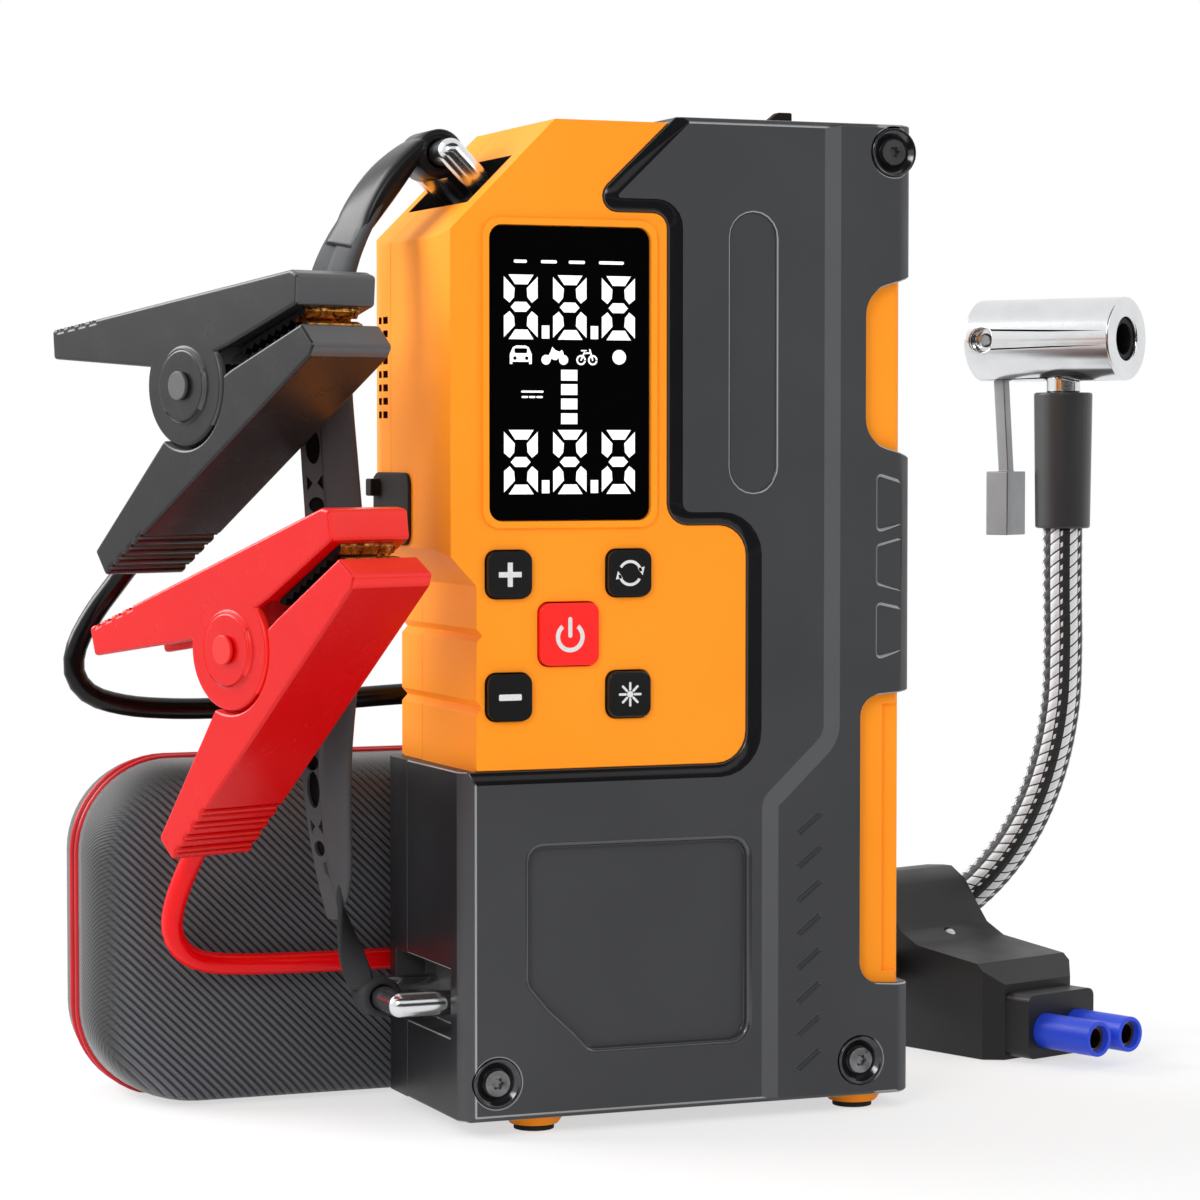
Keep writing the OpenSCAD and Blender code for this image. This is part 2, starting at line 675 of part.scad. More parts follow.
module front_shell() color(orange) {
    difference() {
        union() {
            intersection() {
                upright(shell_plan(), shell_base, shell_top);
                union() {
                    along_y(shell_outline(), under_y, seam_y);
                    difference() {
                        along_y(shell_outline(), face_y, under_y + eps);
                        along_y(guard_region(fit), face_y - 1, under_y);
                    }
                }
            }
            along_y(round_rect([display_x - bezel_w, display_z - bezel_w],
                [display_x + display_w + bezel_w, display_z + display_h + bezel_w], 4),
                face_y - bezel_proud, face_y + eps);
        }
        difference() {
            along_y(cavity_outline(), cavity_y, seam_y + 1);
            screw_bosses(concat(front_screws, shell_screws), cavity_y - 1, seam_y);
            for (post = board_posts) rod_y([post[0], cavity_y - 1, post[1]], post_r, board_y - cavity_y + 1);
        }
        // Display window with its ledge
        along_y(round_rect([display_x - lens_gap, display_z - lens_gap],
            [display_x + display_w + lens_gap, display_z + display_h + lens_gap], 3),
            face_y - 2, lens_y + lens_t);
        along_y(round_rect([display_x + lens_ledge, display_z + lens_ledge],
            [display_x + display_w - lens_ledge, display_z + display_h - lens_ledge], 1.5),
            face_y, cavity_y + 1);
        for (b = buttons)
            along_y(round_rect([b[1] - b[3] / 2 - button_gap, b[2] - b[3] / 2 - button_gap],
                [b[1] + b[3] / 2 + button_gap, b[2] + b[3] / 2 + button_gap], 2.4), face_y - 1, switch_top_y);
        port_hole();
        upper_pocket();
        screw_holes(front_screws, front_y, under_y + screw_l + 2);
        screw_holes(shell_screws, seam_y - 12, seam_y + 1);
        // Upright rebate in the lower window
        box_between([rebate_x, face_y - 3, windows[1][0] + 2],
            [shell_right + 1, under_y + rebate_t, windows[1][1] - 2]);
        top_socket_hole();
        lamp_recess();
    }
}

module rear_shell() color(orange) {
    difference() {
        intersection() {
            upright(rear_shell_plan(), shell_base, shell_top);
            union() {
                along_y(shell_outline(), seam_y, rear_under_y);
                difference() {
                    along_y(shell_outline(), rear_under_y - eps, rear_face_y);
                    along_y(guard_region(fit), rear_under_y, rear_face_y + 1);
                }
            }
        }
        difference() {
            along_y(cavity_outline(), seam_y - 1, rear_cavity_y);
            screw_bosses(concat(rear_screws, shell_screws), seam_y, rear_cavity_y + 1);
        }
        port_hole();
        upper_pocket();
        screw_holes(rear_screws, rear_under_y - screw_l - 2, back_y);
        screw_holes(shell_screws, seam_y - 1, back_y);
        screw_holes(shell_screws, rear_face_y - head_h, back_y, head_r + 0.2);
        for (row = [0:vent_rows - 1], y = vent_ys)
            translate([left_x, y, vent_z + vent_pitch * row])
                cube([2 * shell_wall + 2, vent_slot[0], vent_slot[1]], center = true);
        rod_y([outlet_x, seam_y, outlet_z], outlet_d / 2 - 2 + run, back_y);
    }
}

module front_guard() color(guard_grey) {
    difference() {
        intersection() {
            upright(guard_plan(), base_z, top_z);
            along_y(guard_region(), front_y - 1, seam_y);
        }
        intersection() {
            upright(concat([[left_x - 9, seam_y + 1], [left_x - 9, front_y]], shell_plan(fit)),
                shell_base - fit, shell_top + fit);
            along_y(shell_outline(fit), under_y - fit, seam_y + 1);
        }
        guard_bevel(front_y);
        // Stepped right part with its sloped band
        along_y(step_region(), front_y - 1, step_y);
        edge_sweep(band_path, [[0, front_y - eps], [band_w, step_y], [band_w, front_y - eps]]);
        window_cuts();
        lower_pocket();
        // Lower panel pocket
        along_y(panel_outline(), front_y - 1, front_y + 1.8);
        // Stadium, notches and the three side marks
        along_y(stadium_outline(), front_y - 1, front_y + 0.5);
        for (i = [0:scratches - 1])
            translate([right_x - 28, step_y, base_z + 9.2 + scratch_pitch * i]) rotate([0, -38, 0])
                cube([7, 1, 0.9], center = true);
        for (mark = side_marks()) along_y(mark, step_y - 3, step_y + 0.5);
        for (s = front_screws)
            rod_y([s[0], front_y - 2, s[1]], cup_r + 0.12, 2 + cup_seat + s[2] * band_step);
        screw_holes(front_screws, front_y, seam_y);
        top_socket_hole();
        guard_edge_chamfers(front_y);
    }
}

module rear_guard() color(guard_grey) {
    difference() {
        intersection() {
            upright(rear_guard_plan(), base_z, top_z);
            along_y(guard_region(), seam_y, back_y + 1);
        }
        intersection() {
            upright(concat(rear_shell_plan(fit),
                [[left_x - 9, back_y], [left_x - 9, seam_y - 1], [shell_right + fit, seam_y - 1]]),
                shell_base - fit, shell_top + fit);
            along_y(shell_outline(fit), seam_y - 1, rear_under_y + fit);
        }
        along_y(step_region(), rear_step_y, back_y + 1);
        window_cuts();
        lower_pocket();
        along_y(panel_outline(), back_y - 1.8, back_y + 1);
        along_y(stadium_outline(), back_y - 0.5, back_y + 1);
        for (s = rear_screws)
            rod_y([s[0], back_y - cup_seat - s[2] * band_step, s[1]], cup_r + 0.12, 4);
        screw_holes(rear_screws, seam_y, back_y);
        rod_y([outlet_x, seam_y, outlet_z], outlet_d / 2 - 2 + run, back_y);
        rod_y([outlet_x, back_y - band_step - 1, outlet_z], outlet_d / 2 + 0.1, 4);
        guard_edge_chamfers(back_y);
    }
}

// Bevel along the guard's inner edge, on the plane y = face
module guard_bevel(face) {
    low = face + guard_proud - 0.2;
    edge_sweep(guard_path, [[-0.3, face - eps], [-0.3, low], [0, low], [bevel_w, face - eps]]);
}

// Outline of the shallow pocket in the guard's lower panel
function panel_outline() =
    let (left = right_x - 97, right = right_x - 44, low = base_z + 15.3, high = boot_top - 17.3)
    rounded([[left, high, 3], [left, low + 15.1, 3], [left + 4.5, low + 9.7, 4], [left + 10.5, low + 4.2, 4],
        [left + 14.5, low, 3], [right, low, 4], [right, high, 4]], 4);

// Outline of the shallow stadium beside the display
function stadium_outline() = round_rect([right_x - 48.5, top_z - 84.6], [right_x - 36.8, top_z - 21], 5.8);

// Outlines of the three sunk marks on the guard's right side
function side_marks() = [for (m = mark_drops)
    rounded([[mark_x[0], top_z - m[0], 1], [mark_x[1], top_z - m[1], 1], [mark_x[1], top_z - m[2], 1],
        [mark_x[0], top_z - m[3], 1]], 3)];

// 1.2 mm chamfers along the guard's top and bottom edges on one face
module guard_edge_chamfers(face) {
    for (z = [base_z, top_z])
        translate([0, face, z]) rotate([45, 0, 0]) cube([3 * unit_d, 1.7, 1.7], center = true);
}

module top_socket_hole() {
    box_between([top_hole_x[0], top_hole_y[0], top_z - usb_depth - 2],
        [top_hole_x[1], top_hole_y[1], top_z + 1]);
}

module lamp_recess() {
    translate([0, 0, shell_top - lamp_t]) linear_extrude(3)
        polygon(round_rect([lamp_x[0] - 0.1, lamp_y - lamp_w / 2 - 0.1],
            [lamp_x[1] + 0.1, lamp_y + lamp_w / 2 + 0.1], 3));
}

// ---------- fasteners, window and buttons ----------

// Screw with a six-lobe socket, head at y = 0, pointing along +Y
module lobe_screw() {
    difference() {
        union() {
            rod_y([0, 0, 0], head_r, head_h);
            rod_y([0, head_h - eps, 0], screw_r, screw_l - head_h);
        }
        for (k = [0:5]) rod_y([0.95 * cos(60 * k), -eps, 0.95 * sin(60 * k)], 0.45, 0.9);
        rod_y([0, -eps, 0], 0.9, 0.9);
    }
}

// Conical washer for one screw, front at y = 0
module screw_cup() {
    difference() {
        rod_y([0, 0, 0], cup_r, cup_t);
        rod_y([0, -eps, 0], screw_hole_r, cup_t + 1);
        rotate([-90, 0, 0]) translate([0, 0, -eps])
            cylinder(r1 = cup_r - 0.5, r2 = head_r + 0.3, h = cup_t - cup_floor + eps);
    }
}

module at_front(s) {
    translate([s[0], front_y + s[2] * band_step + cup_seat - cup_t, s[1]]) children();
}

module at_rear(s) {
    translate([s[0], back_y - s[2] * band_step - cup_seat + cup_t, s[1]]) rotate([0, 0, 180]) children();
}

module guard_screws() color(steel) {
    for (s = front_screws) at_front(s) translate([0, cup_t - cup_floor - head_h, 0]) lobe_screw();
    for (s = rear_screws) at_rear(s) translate([0, cup_t - cup_floor - head_h, 0]) lobe_screw();
    for (s = shell_screws) translate([s[0], rear_face_y, s[1]]) rotate([0, 0, 180]) lobe_screw();
}

module screw_cups() color(glossy_black) {
    for (s = front_screws) at_front(s) screw_cup();
    for (s = rear_screws) at_rear(s) screw_cup();
}

module display_lens() color(glossy_black)
    along_y(round_rect([display_x, display_z], [display_x + display_w, display_z + display_h], 2.8),
        lens_y, lens_y + lens_t - 0.05);

module display_module() color("#303438") {
    along_y(round_rect([display_x + lens_ledge + 0.3, display_z + lens_ledge + 0.3],
        [display_x + display_w - lens_ledge - 0.3, display_z + display_h - lens_ledge - 0.3], 1.5),
        module_y, board_y - 0.1);
}

module main_board() color("#1E5B38") difference() {
    along_y([[board_x[0], board_z[0]], [board_x[1], board_z[0]], [board_x[1], board_z[1]],
        [board_x[0] + board_corner, board_z[1]], [board_x[0], board_z[1] - board_corner]],
        board_y, board_y + board_t);
    for (post = board_posts) rod_y([post[0], board_y - 1, post[1]], 1, 4);
    for (s = shell_screws) rod_y([s[0], board_y - 1, s[1]], boss_r + 0.25, board_t + 2);
}

module tact_switches() color("#2A2A2C") for (b = buttons) {
    box_between([b[1] - switch_w / 2, switch_top_y + plunger_h, b[2] - switch_w / 2],
        [b[1] + switch_w / 2, board_y, b[2] + switch_w / 2]);
    rod_y([b[1], switch_top_y, b[2]], plunger_r, plunger_h + eps);
}

// One push button with its flange behind the shell
module push_button(b, tone) color(tone) {
    along_y(round_rect([b[1] - b[3] / 2, b[2] - b[3] / 2], [b[1] + b[3] / 2, b[2] + b[3] / 2], 2.2),
        face_y - button_proud, flange_y + eps);
    flange_left = max(b[1] - b[3] / 2 - button_flange, grip_x + shell_wall + 0.3);
    along_y(round_rect([flange_left, b[2] - b[3] / 2 - button_flange],
        [b[1] + b[3] / 2 + button_flange, b[2] + b[3] / 2 + button_flange], 2.4),
        flange_y, flange_y + flange_t);
}

module plus_button() push_button(buttons[0], glossy_black);
module mode_button() push_button(buttons[1], glossy_black);
module minus_button() push_button(buttons[2], glossy_black);
module lamp_button() push_button(buttons[3], glossy_black);
module power_button() push_button(buttons[4], "#F0251F");

// ---------- inside the unit ----------

function cell_x(i) = cell_mid_x + (i - (cells - 1) / 2) * cell_pitch;

module battery_cells() color("#3A6FB0") for (i = [0:cells - 1])
    translate([cell_x(i), 0, cell_z]) cylinder(d = cell_d, h = cell_l);

module battery_cradle() color("#D8D8D4") difference() {
    for (z = [cell_z - cradle_t, cell_z + cell_l - cradle_t])
        box_between([cradle_x[0], -cell_d / 2 - 1.5, z], [cradle_x[1], cell_d / 2 + 1.5, z + 2 * cradle_t]);
    for (i = [0:cells - 1]) translate([cell_x(i), 0, cell_z]) cylinder(d = cell_d + 0.3, h = cell_l);
}

// Gear outline: trapezoid teeth on a root circle
function gear_outline(teeth, phase) =
    let (pitch_r = gear_module * teeth / 2, root = pitch_r - 1.2 * gear_module,
        tip = pitch_r + 0.9 * gear_module, a = 360 / teeth)
    [for (i = [0:teeth - 1]) each [for (q = [[-0.32, root], [-0.11, tip], [0.11, tip], [0.32, root]])
        q[1] * [cos(phase + a * (i + q[0])), sin(phase + a * (i + q[0]))]]];

module gear(teeth, phase, bore) difference() {
    linear_extrude(gear_t) polygon(gear_outline(teeth, phase));
    translate([0, 0, -1]) cylinder(r = bore, h = gear_t + 2);
}

module crank_gear() color("#E8E4D8") {
    translate([crank_x, gear_y, crank_z]) rotate([-90, 0, 0]) gear(crank_teeth, 90, axle_r + run);
    rod_y([rod_end_x, crank_pin_y, crank_z], 1.8, gear_y - crank_pin_y + eps);
}

module motor_pinion() color(brass)
    translate([crank_x, gear_y, motor_z]) rotate([-90, 0, 0])
        gear(pinion_teeth, -90 + 180 / pinion_teeth, shaft_r);

module pump_motor() color("#A8AAAE") {
    rod_y([crank_x, motor_y, motor_z], motor_r, motor_l);
    rod_y([crank_x, gear_y - 0.5, motor_z], shaft_r - run, motor_y - gear_y + 0.6);
}

module pump_frame() color("#8C8F94") {
    difference() {
        union() {
            box_between([crank_x - 16, frame_y, motor_z - motor_r - 2],
                [cylinder_x[1] + 2, frame_y + frame_t, crank_z + pump_bore / 2 + 6]);
            // Saddle that carries the cylinder
            box_between([cylinder_x[0] + 3, pump_y, crank_z - pump_bore / 2 - cylinder_wall - 2],
                [cylinder_x[1] - 3, frame_y + eps, crank_z + pump_bore / 2 + cylinder_wall + 2]);
        }
        rod_y([crank_x, frame_y - 1, motor_z], 3, frame_t + 2);
        rod_x([cylinder_x[0] - 1, pump_y, crank_z], pump_bore / 2 + cylinder_wall + run,
            cylinder_x[1] - cylinder_x[0] + 4);
    }
    rod_y([crank_x, gear_y - 0.4, crank_z], axle_r, frame_y - gear_y + 0.4 + eps);
    // Feet that hold the frame to the rear shell
    for (x = [crank_x - 14, cylinder_x[1] - 2])
        box_between([x, frame_y + frame_t - eps, crank_z + pump_bore / 2],
            [x + 4, rear_cavity_y, crank_z + pump_bore / 2 + 6]);
}

module pump_cylinder() color("#B9BBBF") difference() {
    rod_x([cylinder_x[0], pump_y, crank_z], pump_bore / 2 + cylinder_wall, cylinder_x[1] - cylinder_x[0]);
    rod_x([cylinder_x[0] - 1, pump_y, crank_z], pump_bore / 2, cylinder_x[1] - cylinder_x[0] - 1);
    rod_x([cylinder_x[0], pump_y, crank_z], 1.5, 60);
}

module pump_piston() color("#D0CDC4") {
    rod_x([piston_x, pump_y, crank_z], pump_bore / 2 - run, piston_l);
    difference() {
        union() {
            rod_y([rod_end_x, pump_y - rod_t / 2, crank_z], 4, rod_t);
            box_between([rod_end_x, pump_y - rod_t / 2, crank_z - 2],
                [piston_x + 1, pump_y + rod_t / 2, crank_z + 2]);
        }
        rod_y([rod_end_x, pump_y - rod_t, crank_z], 2.1, 2 * rod_t);
    }
}

module jump_socket() color(blue) {
    front = left_x + cover_lip + cover_off + 0.2;
    difference() {
        along_x(socket_outline(), front, left_x + socket_depth);
        for (s = [-1, 1])
            rod_x([left_x, port_y + port_l / 2 + s * plug_pitch / 2, port_z + port_h / 2], plug_d / 2 + 0.2,
                tube_reach);
    }
    for (s = [-1, 1])
        rod_x([left_x + tube_reach - pin_l, port_y + port_l / 2 + s * plug_pitch / 2, port_z + port_h / 2],
            contact_bore / 2 - run, pin_l + eps);
}

module usb_sockets() color("#C9CACC") for (i = [0, 1]) {
    x = top_hole_x[0] + 1 + i * (usb_w + 0.6);
    difference() {
        box_between([x, top_hole_y[0] + 0.2, top_z - usb_depth],
            [x + usb_w, top_hole_y[1] - 0.2, top_z - top_lip - 0.4]);
        box_between([x + 0.8, top_hole_y[0] + 1, top_z - usb_depth + 1.5],
            [x + usb_w - 0.8, top_hole_y[1] - 1, top_z]);
    }
}

// ---------- covers, lamp and outlet ----------

module port_cover() color("#2B2322") {
    along_x(round_rect([port_y, port_z], [port_y + port_l, port_z + port_h], 3),
        left_x - cover_off - cover_t, left_x - cover_off);
    along_x(socket_outline(), left_x - cover_off - eps, left_x + cover_lip);
    box_between([left_x - cover_off - tab_out, port_y + port_l - 5, port_z + port_h - 5.5],
        [left_x - cover_off - cover_t + eps, port_y + port_l - 1, port_z + port_h - 1.5]);
}

module top_cover() color(rubber_black) {
    translate([0, 0, top_z + cover_off]) linear_extrude(cover_t)
        polygon(round_rect([top_cover_x[0], top_cover_y[0]], [top_cover_x[1], top_cover_y[1]], 3));
    box_between([top_hole_x[0] + cover_gap, top_hole_y[0] + cover_gap, top_z - top_lip],
        [top_hole_x[1] - cover_gap, top_hole_y[1] - cover_gap, top_z + cover_off + eps]);
    along_y([[fin_x, top_z + cover_t], [fin_x + 3, top_z + 1.8], [fin_x + 6, top_z + fin_h],
        [fin_x + 9.6, top_z + fin_h], [fin_x + 9.6, top_z + cover_t]], -2.4, 0.4);
}

module lamp_lens() color("#F2F2EC") {
    translate([0, 0, shell_top - lamp_t + 0.05]) linear_extrude(lamp_t)
        polygon(round_rect([lamp_x[0], lamp_y - lamp_w / 2], [lamp_x[1], lamp_y + lamp_w / 2], 3));
}

module air_outlet() color(brass) difference() {
    union() {
        rod_y([outlet_x, rear_cavity_y - 6, outlet_z], outlet_d / 2 - 2, back_y - rear_cavity_y + 6.5);
        rod_y([outlet_x, back_y - band_step - 0.9, outlet_z], outlet_d / 2,
            outlet_end_y - back_y + band_step + 0.9);
    }
    rod_y([outlet_x, rear_cavity_y - 7, outlet_z], 1.5, 40);
}

// ---------- strap bars and strap ----------

// Staple of round bar: crossbar along y, legs down to z = -drop
module bar_staple(d, ys, drop) {
    rod_y([0, ys[0], 0], d / 2, ys[1] - ys[0]);
    for (y = ys) translate([0, y, 0]) {
        sphere(d = d);
        translate([0, 0, -drop]) cylinder(d = d, h = drop);
    }
}

module upper_bar() color(steel) translate([upper_bar_at[0], 0, upper_bar_at[1]]) rotate([0, -45, 0])
    bar_staple(upper_bar_d, upper_bar_y, upper_bar_out + upper_pocket_depth);

module lower_bar() color(steel) translate([lower_bar_x, 0, lower_bar_z]) rotate([0, -90, 0])
    bar_staple(lower_bar_d, lower_bar_y, lower_leg_end - lower_bar_x);

module carry_strap() color(rubber_black) {
    path = [for (p = strap_points) [p[0], strap_y, p[1]]];
    difference() {
        union() {
            skin([for (i = [0:len(path) - 1])
                let (t = tangent(path, i), side = [0, 1, 0], flat = cross(t, side), roll = strap_points[i][2],
                    across = cos(roll) * side + sin(roll) * flat, thick = cross(t, across))
                [for (q = [[-1, -1], [1, -1], [1, 1], [-1, 1]])
                    path[i] + q[0] * strap_w / 2 * across + q[1] * strap_t / 2 * thick]]);
            rod_y([upper_bar_at[0], strap_y - strap_w / 2, upper_bar_at[1]],
                upper_bar_d / 2 + 0.2 + strap_t, strap_w);
            rod_y([lower_bar_x, strap_y - strap_w / 2, lower_bar_z],
                lower_bar_d / 2 + 0.2 + strap_t * 0.7, strap_w);
        }
        rod_y([upper_bar_at[0], strap_y - strap_w, upper_bar_at[1]], upper_bar_d / 2 + 0.2, 2 * strap_w);
        rod_y([lower_bar_x, strap_y - strap_w, lower_bar_z], lower_bar_d / 2 + 0.2, 2 * strap_w);
    }
}

// ---------- feet ----------

module feet() color(orange) for (f = foot_spots)
    translate([f[0], f[1], pad_t]) cylinder(r1 = 5.5, r2 = 7, h = foot_h - pad_t);

module foot_pads() color(rubber_black) for (f = foot_spots)
    translate([f[0], f[1], 0]) cylinder(r = 4.6, h = pad_t);

// ---------- clamps ----------

module place_clamp(pivot, pitch) {
    translate(pivot) rotate([0, 0, clamp_yaw]) rotate([90, 0, 0]) rotate([0, 0, pitch]) children();
}

function web_line(x) = arm_outline[0][1] - arm_slope * (x - arm_outline[0][0]);

// Space between the cheeks, open towards the other arm
module arm_cavity(w) {
    web = clamp_wall * 1.03;
    linear_extrude(w, center = true) polygon([[-60, web_line(-60) - web],
        [jaw_start, web_line(jaw_start) - web], [jaw_start, -16], [-60, -16]]);
}

module grip_grooves() {
    for (i = [0:3]) {
        x = -40 + 4.2 * i;
        translate([x, web_line(x), 0]) rotate([0, 0, -atan(arm_slope)])
            cube([1.7, 1.4, clamp_w + 1], center = true);
    }
}

module clamp_upper_arm(tone) color(tone) difference() {
    union() {
        linear_extrude(clamp_w, center = true) polygon(arm_outline);
        cylinder(r = shoulder_r, h = clamp_w, center = true);
        cylinder(r = cap_r, h = clamp_w + 2 * cap_t, center = true);
    }
    arm_cavity(clamp_w - 2 * clamp_wall + 0.4);
    cylinder(r = clamp_pin_d / 2 + run, h = 2 * clamp_w, center = true);
    grip_grooves();
}

module clamp_lower_arm(tone) color(tone) difference() {
    neck_w = clamp_w - 2 * clamp_wall - 2 * neck_gap + 0.4;
    union() {
        difference() {
            linear_extrude(clamp_w, center = true) mirror([0, 1]) polygon(arm_outline);
            cylinder(r = shoulder_r + 0.7, h = 2 * clamp_w, center = true);
        }
        linear_extrude(neck_w, center = true) mirror([0, 1]) polygon(arm_outline);
        cylinder(r = cap_r, h = neck_w, center = true);
    }
    mirror([0, 1, 0]) arm_cavity(clamp_w - 4 * clamp_wall);
    cylinder(r = clamp_pin_d / 2 + run, h = 2 * clamp_w, center = true);
    mirror([0, 1, 0]) grip_grooves();
}

// Toothed copper strip under the upper jaw
module jaw_strip() color(copper) {
    pitch = (strip_x[1] - strip_x[0]) / strip_teeth;
    linear_extrude(strip_w, center = true) polygon(concat(
        [[strip_x[1], 2.15], [strip_x[0], 2.15], [strip_x[0], 1.4]],
        [for (i = [0:strip_teeth - 1]) each
            [[strip_x[0] + pitch * (i + 0.5), 0.3], [strip_x[0] + pitch * (i + 1), 1.4]]]));
}

module clamp_upper_jaw() jaw_strip();
module clamp_lower_jaw() mirror([0, 1, 0]) jaw_strip();

module clamp_pin() {
    cylinder(d = clamp_pin_d, h = clamp_w + 2 * cap_t + 1.6, center = true);
    for (s = [-1, 1]) translate([0, 0, s * (clamp_w / 2 + cap_t + 0.7)])
        cylinder(r = 3.2, h = 1, center = true);
}

// Centre line of the coil round the pin, ten points to a turn
function spring_turn_points(width) =
    let (steps = 10 * spring_turns)
    [for (i = [0:steps])
        [spring_r * cos(210 + 36 * i), spring_r * sin(210 + 36 * i), width * (i / steps - 0.5)]];

// Least clear distance between points half a turn or more apart
function least_gap(line, d) =
    min([for (i = [0:len(line) - 6]) for (j = [i + 5:len(line) - 1]) norm(line[i] - line[j])]) - d;

spring_width = clamp_w - 4 * clamp_wall - 2.4;
echo("clamp spring: least gap to itself, mm", least_gap(spring_turn_points(spring_width), spring_wire));

module clamp_spring() {
    turns = spring_turn_points(spring_width);
    leg = [for (k = [4:-1:1]) [turns[0][0] - 5.5 * k, turns[0][1] - 2.7 * k, turns[0][2]]];
    tube(concat(leg, turns), spring_wire, 6);
}

module black_clamp_lower_arm() place_clamp(black_pivot, black_pitch) clamp_lower_arm(clamp_black);
module black_clamp_upper_arm() place_clamp(black_pivot, black_pitch) clamp_upper_arm(clamp_black);
module black_clamp_lower_jaw() place_clamp(black_pivot, black_pitch) clamp_lower_jaw();
module black_clamp_upper_jaw() place_clamp(black_pivot, black_pitch) clamp_upper_jaw();
module red_clamp_lower_arm() place_clamp(red_pivot, red_pitch) clamp_lower_arm(clamp_red);
module red_clamp_upper_arm() place_clamp(red_pivot, red_pitch) clamp_upper_arm(clamp_red);
module red_clamp_lower_jaw() place_clamp(red_pivot, red_pitch) clamp_lower_jaw();
module red_clamp_upper_jaw() place_clamp(red_pivot, red_pitch) clamp_upper_jaw();

module clamp_pins() color(steel) {
    place_clamp(black_pivot, black_pitch) clamp_pin();
    place_clamp(red_pivot, red_pitch) clamp_pin();
}

module clamp_springs() color(steel) {
    place_clamp(black_pivot, black_pitch) clamp_spring();
    place_clamp(red_pivot, red_pitch) clamp_spring();
}

module black_lead() color(black) tube(black_route, lead_d, 10);
module red_lead() color("#C8101C") tube(red_route, lead_d, 10);

// ---------- smart box and plug ----------

module place_box() {
    translate([box_at[0], box_at[1], 0]) rotate([0, 0, box_yaw]) children();
}

box_profile = [[0, 0], [box_l, 0], [box_l, box_h], [box_l - 6, box_h], [box_l - 11, box_h - 3],
    [box_l - 15, box_h - 8.5], [box_l - 19, box_h - 13.5], [box_l - 25, box_h - 16.5], [6, 24], [0, 19]];
box_plan = [[0, -box_w / 2 + 4], [4, -box_w / 2], [box_l - 3, -box_w / 2], [box_l, -box_w / 2 + 3],
    [box_l, box_w / 2 - 3], [box_l - 3, box_w / 2], [4, box_w / 2], [0, box_w / 2 - 4]];

module box_body() intersection() {
    linear_extrude(box_h + 1) polygon(box_plan);
    translate([0, box_w / 2 + 1, 0]) rotate([90, 0, 0]) linear_extrude(box_w + 2) polygon(box_profile);
}

module box_hollow() {
    box_between([box_wall, -box_w / 2 + box_wall, box_wall], [box_l - box_wall, box_w / 2 - box_wall, 19]);
    box_between([box_l - 12, -box_w / 2 + box_wall, 18], [box_l - box_wall, box_w / 2 - box_wall, box_h - 5]);
}

module lead_gland(g) translate([g[0], box_w / 2 + gland_l, g[1]]) rotate([90, 0, 0])
    cylinder(d1 = gland_d - 1.6, d2 = gland_d, h = gland_l + 1);

module collar() along_x(round_rect([-collar_w / 2, 1], [collar_w / 2, 1 + collar_h], 2), -collar_l, eps);

module box_upper_shell() color(black) place_box() difference() {
    union() {
        box_body();
        lead_gland(black_gland);
        lead_gland(red_gland);
    }
    box_hollow();
    box_between([-1, -box_w, -1], [box_l + 1, box_w, box_split]);
    translate([led_at[0], 0, 0]) cylinder(r = led_r + run, h = box_h);
}

module box_lower_shell() color(black) place_box() difference() {
    union() {
        intersection() {
            box_body();
            box_between([-1, -box_w, -1], [box_l + 1, box_w, box_split]);
        }
        difference() {
            collar();
            box_between([-0.05, -box_w, box_split], [1, box_w, box_h]);
        }
    }
    box_hollow();
    plug_tubes(0.1, plug_block + plug_l);
}

// The two plug tubes with their web, grown by g, and starting reach inside the collar's mouth
module plug_tubes(g, l) {
    for (s = [-1, 1]) rod_x([-collar_l - plug_l, s * plug_pitch / 2, plug_z], plug_d / 2 + g, l);
}

module jump_plug() color(blue) place_box() difference() {
    union() {
        plug_tubes(0, plug_l + plug_block);
        box_between([-collar_l - 6, -plug_pitch / 2, plug_z - 3],
            [-collar_l - 0.1, plug_pitch / 2, plug_z + 3]);
    }
    for (s = [-1, 1])
        rod_x([-collar_l - plug_l - 1, s * plug_pitch / 2, plug_z], contact_bore / 2 + 0.8, contact_l + 3);
}

module box_led() color("#F4F4F0") place_box() translate(led_at) {
    cylinder(r = led_r, h = 3);
    translate([0, 0, 3]) sphere(r = led_r);
}

module plug_contacts() color(brass) place_box() for (s = [-1, 1]) difference() {
    rod_x([-collar_l - plug_l + 2, s * plug_pitch / 2, plug_z], contact_bore / 2 + 0.75, contact_l);
    rod_x([-collar_l - plug_l, s * plug_pitch / 2, plug_z], contact_bore / 2, contact_l + 4);
}

// ---------- air hose and chuck ----------

module air_hose() color("#77787A") tube(hose_route, hose_d, 12);

module hose_sleeve() color(rubber_black)
    translate([hose_top[0], hose_top[1], sleeve_z]) cylinder(d1 = sleeve_d - 1, d2 = sleeve_d, h = sleeve_l);

module place_chuck() translate([hose_top[0], hose_top[1], chuck_z]) rotate([0, 0, barrel_yaw]) children();

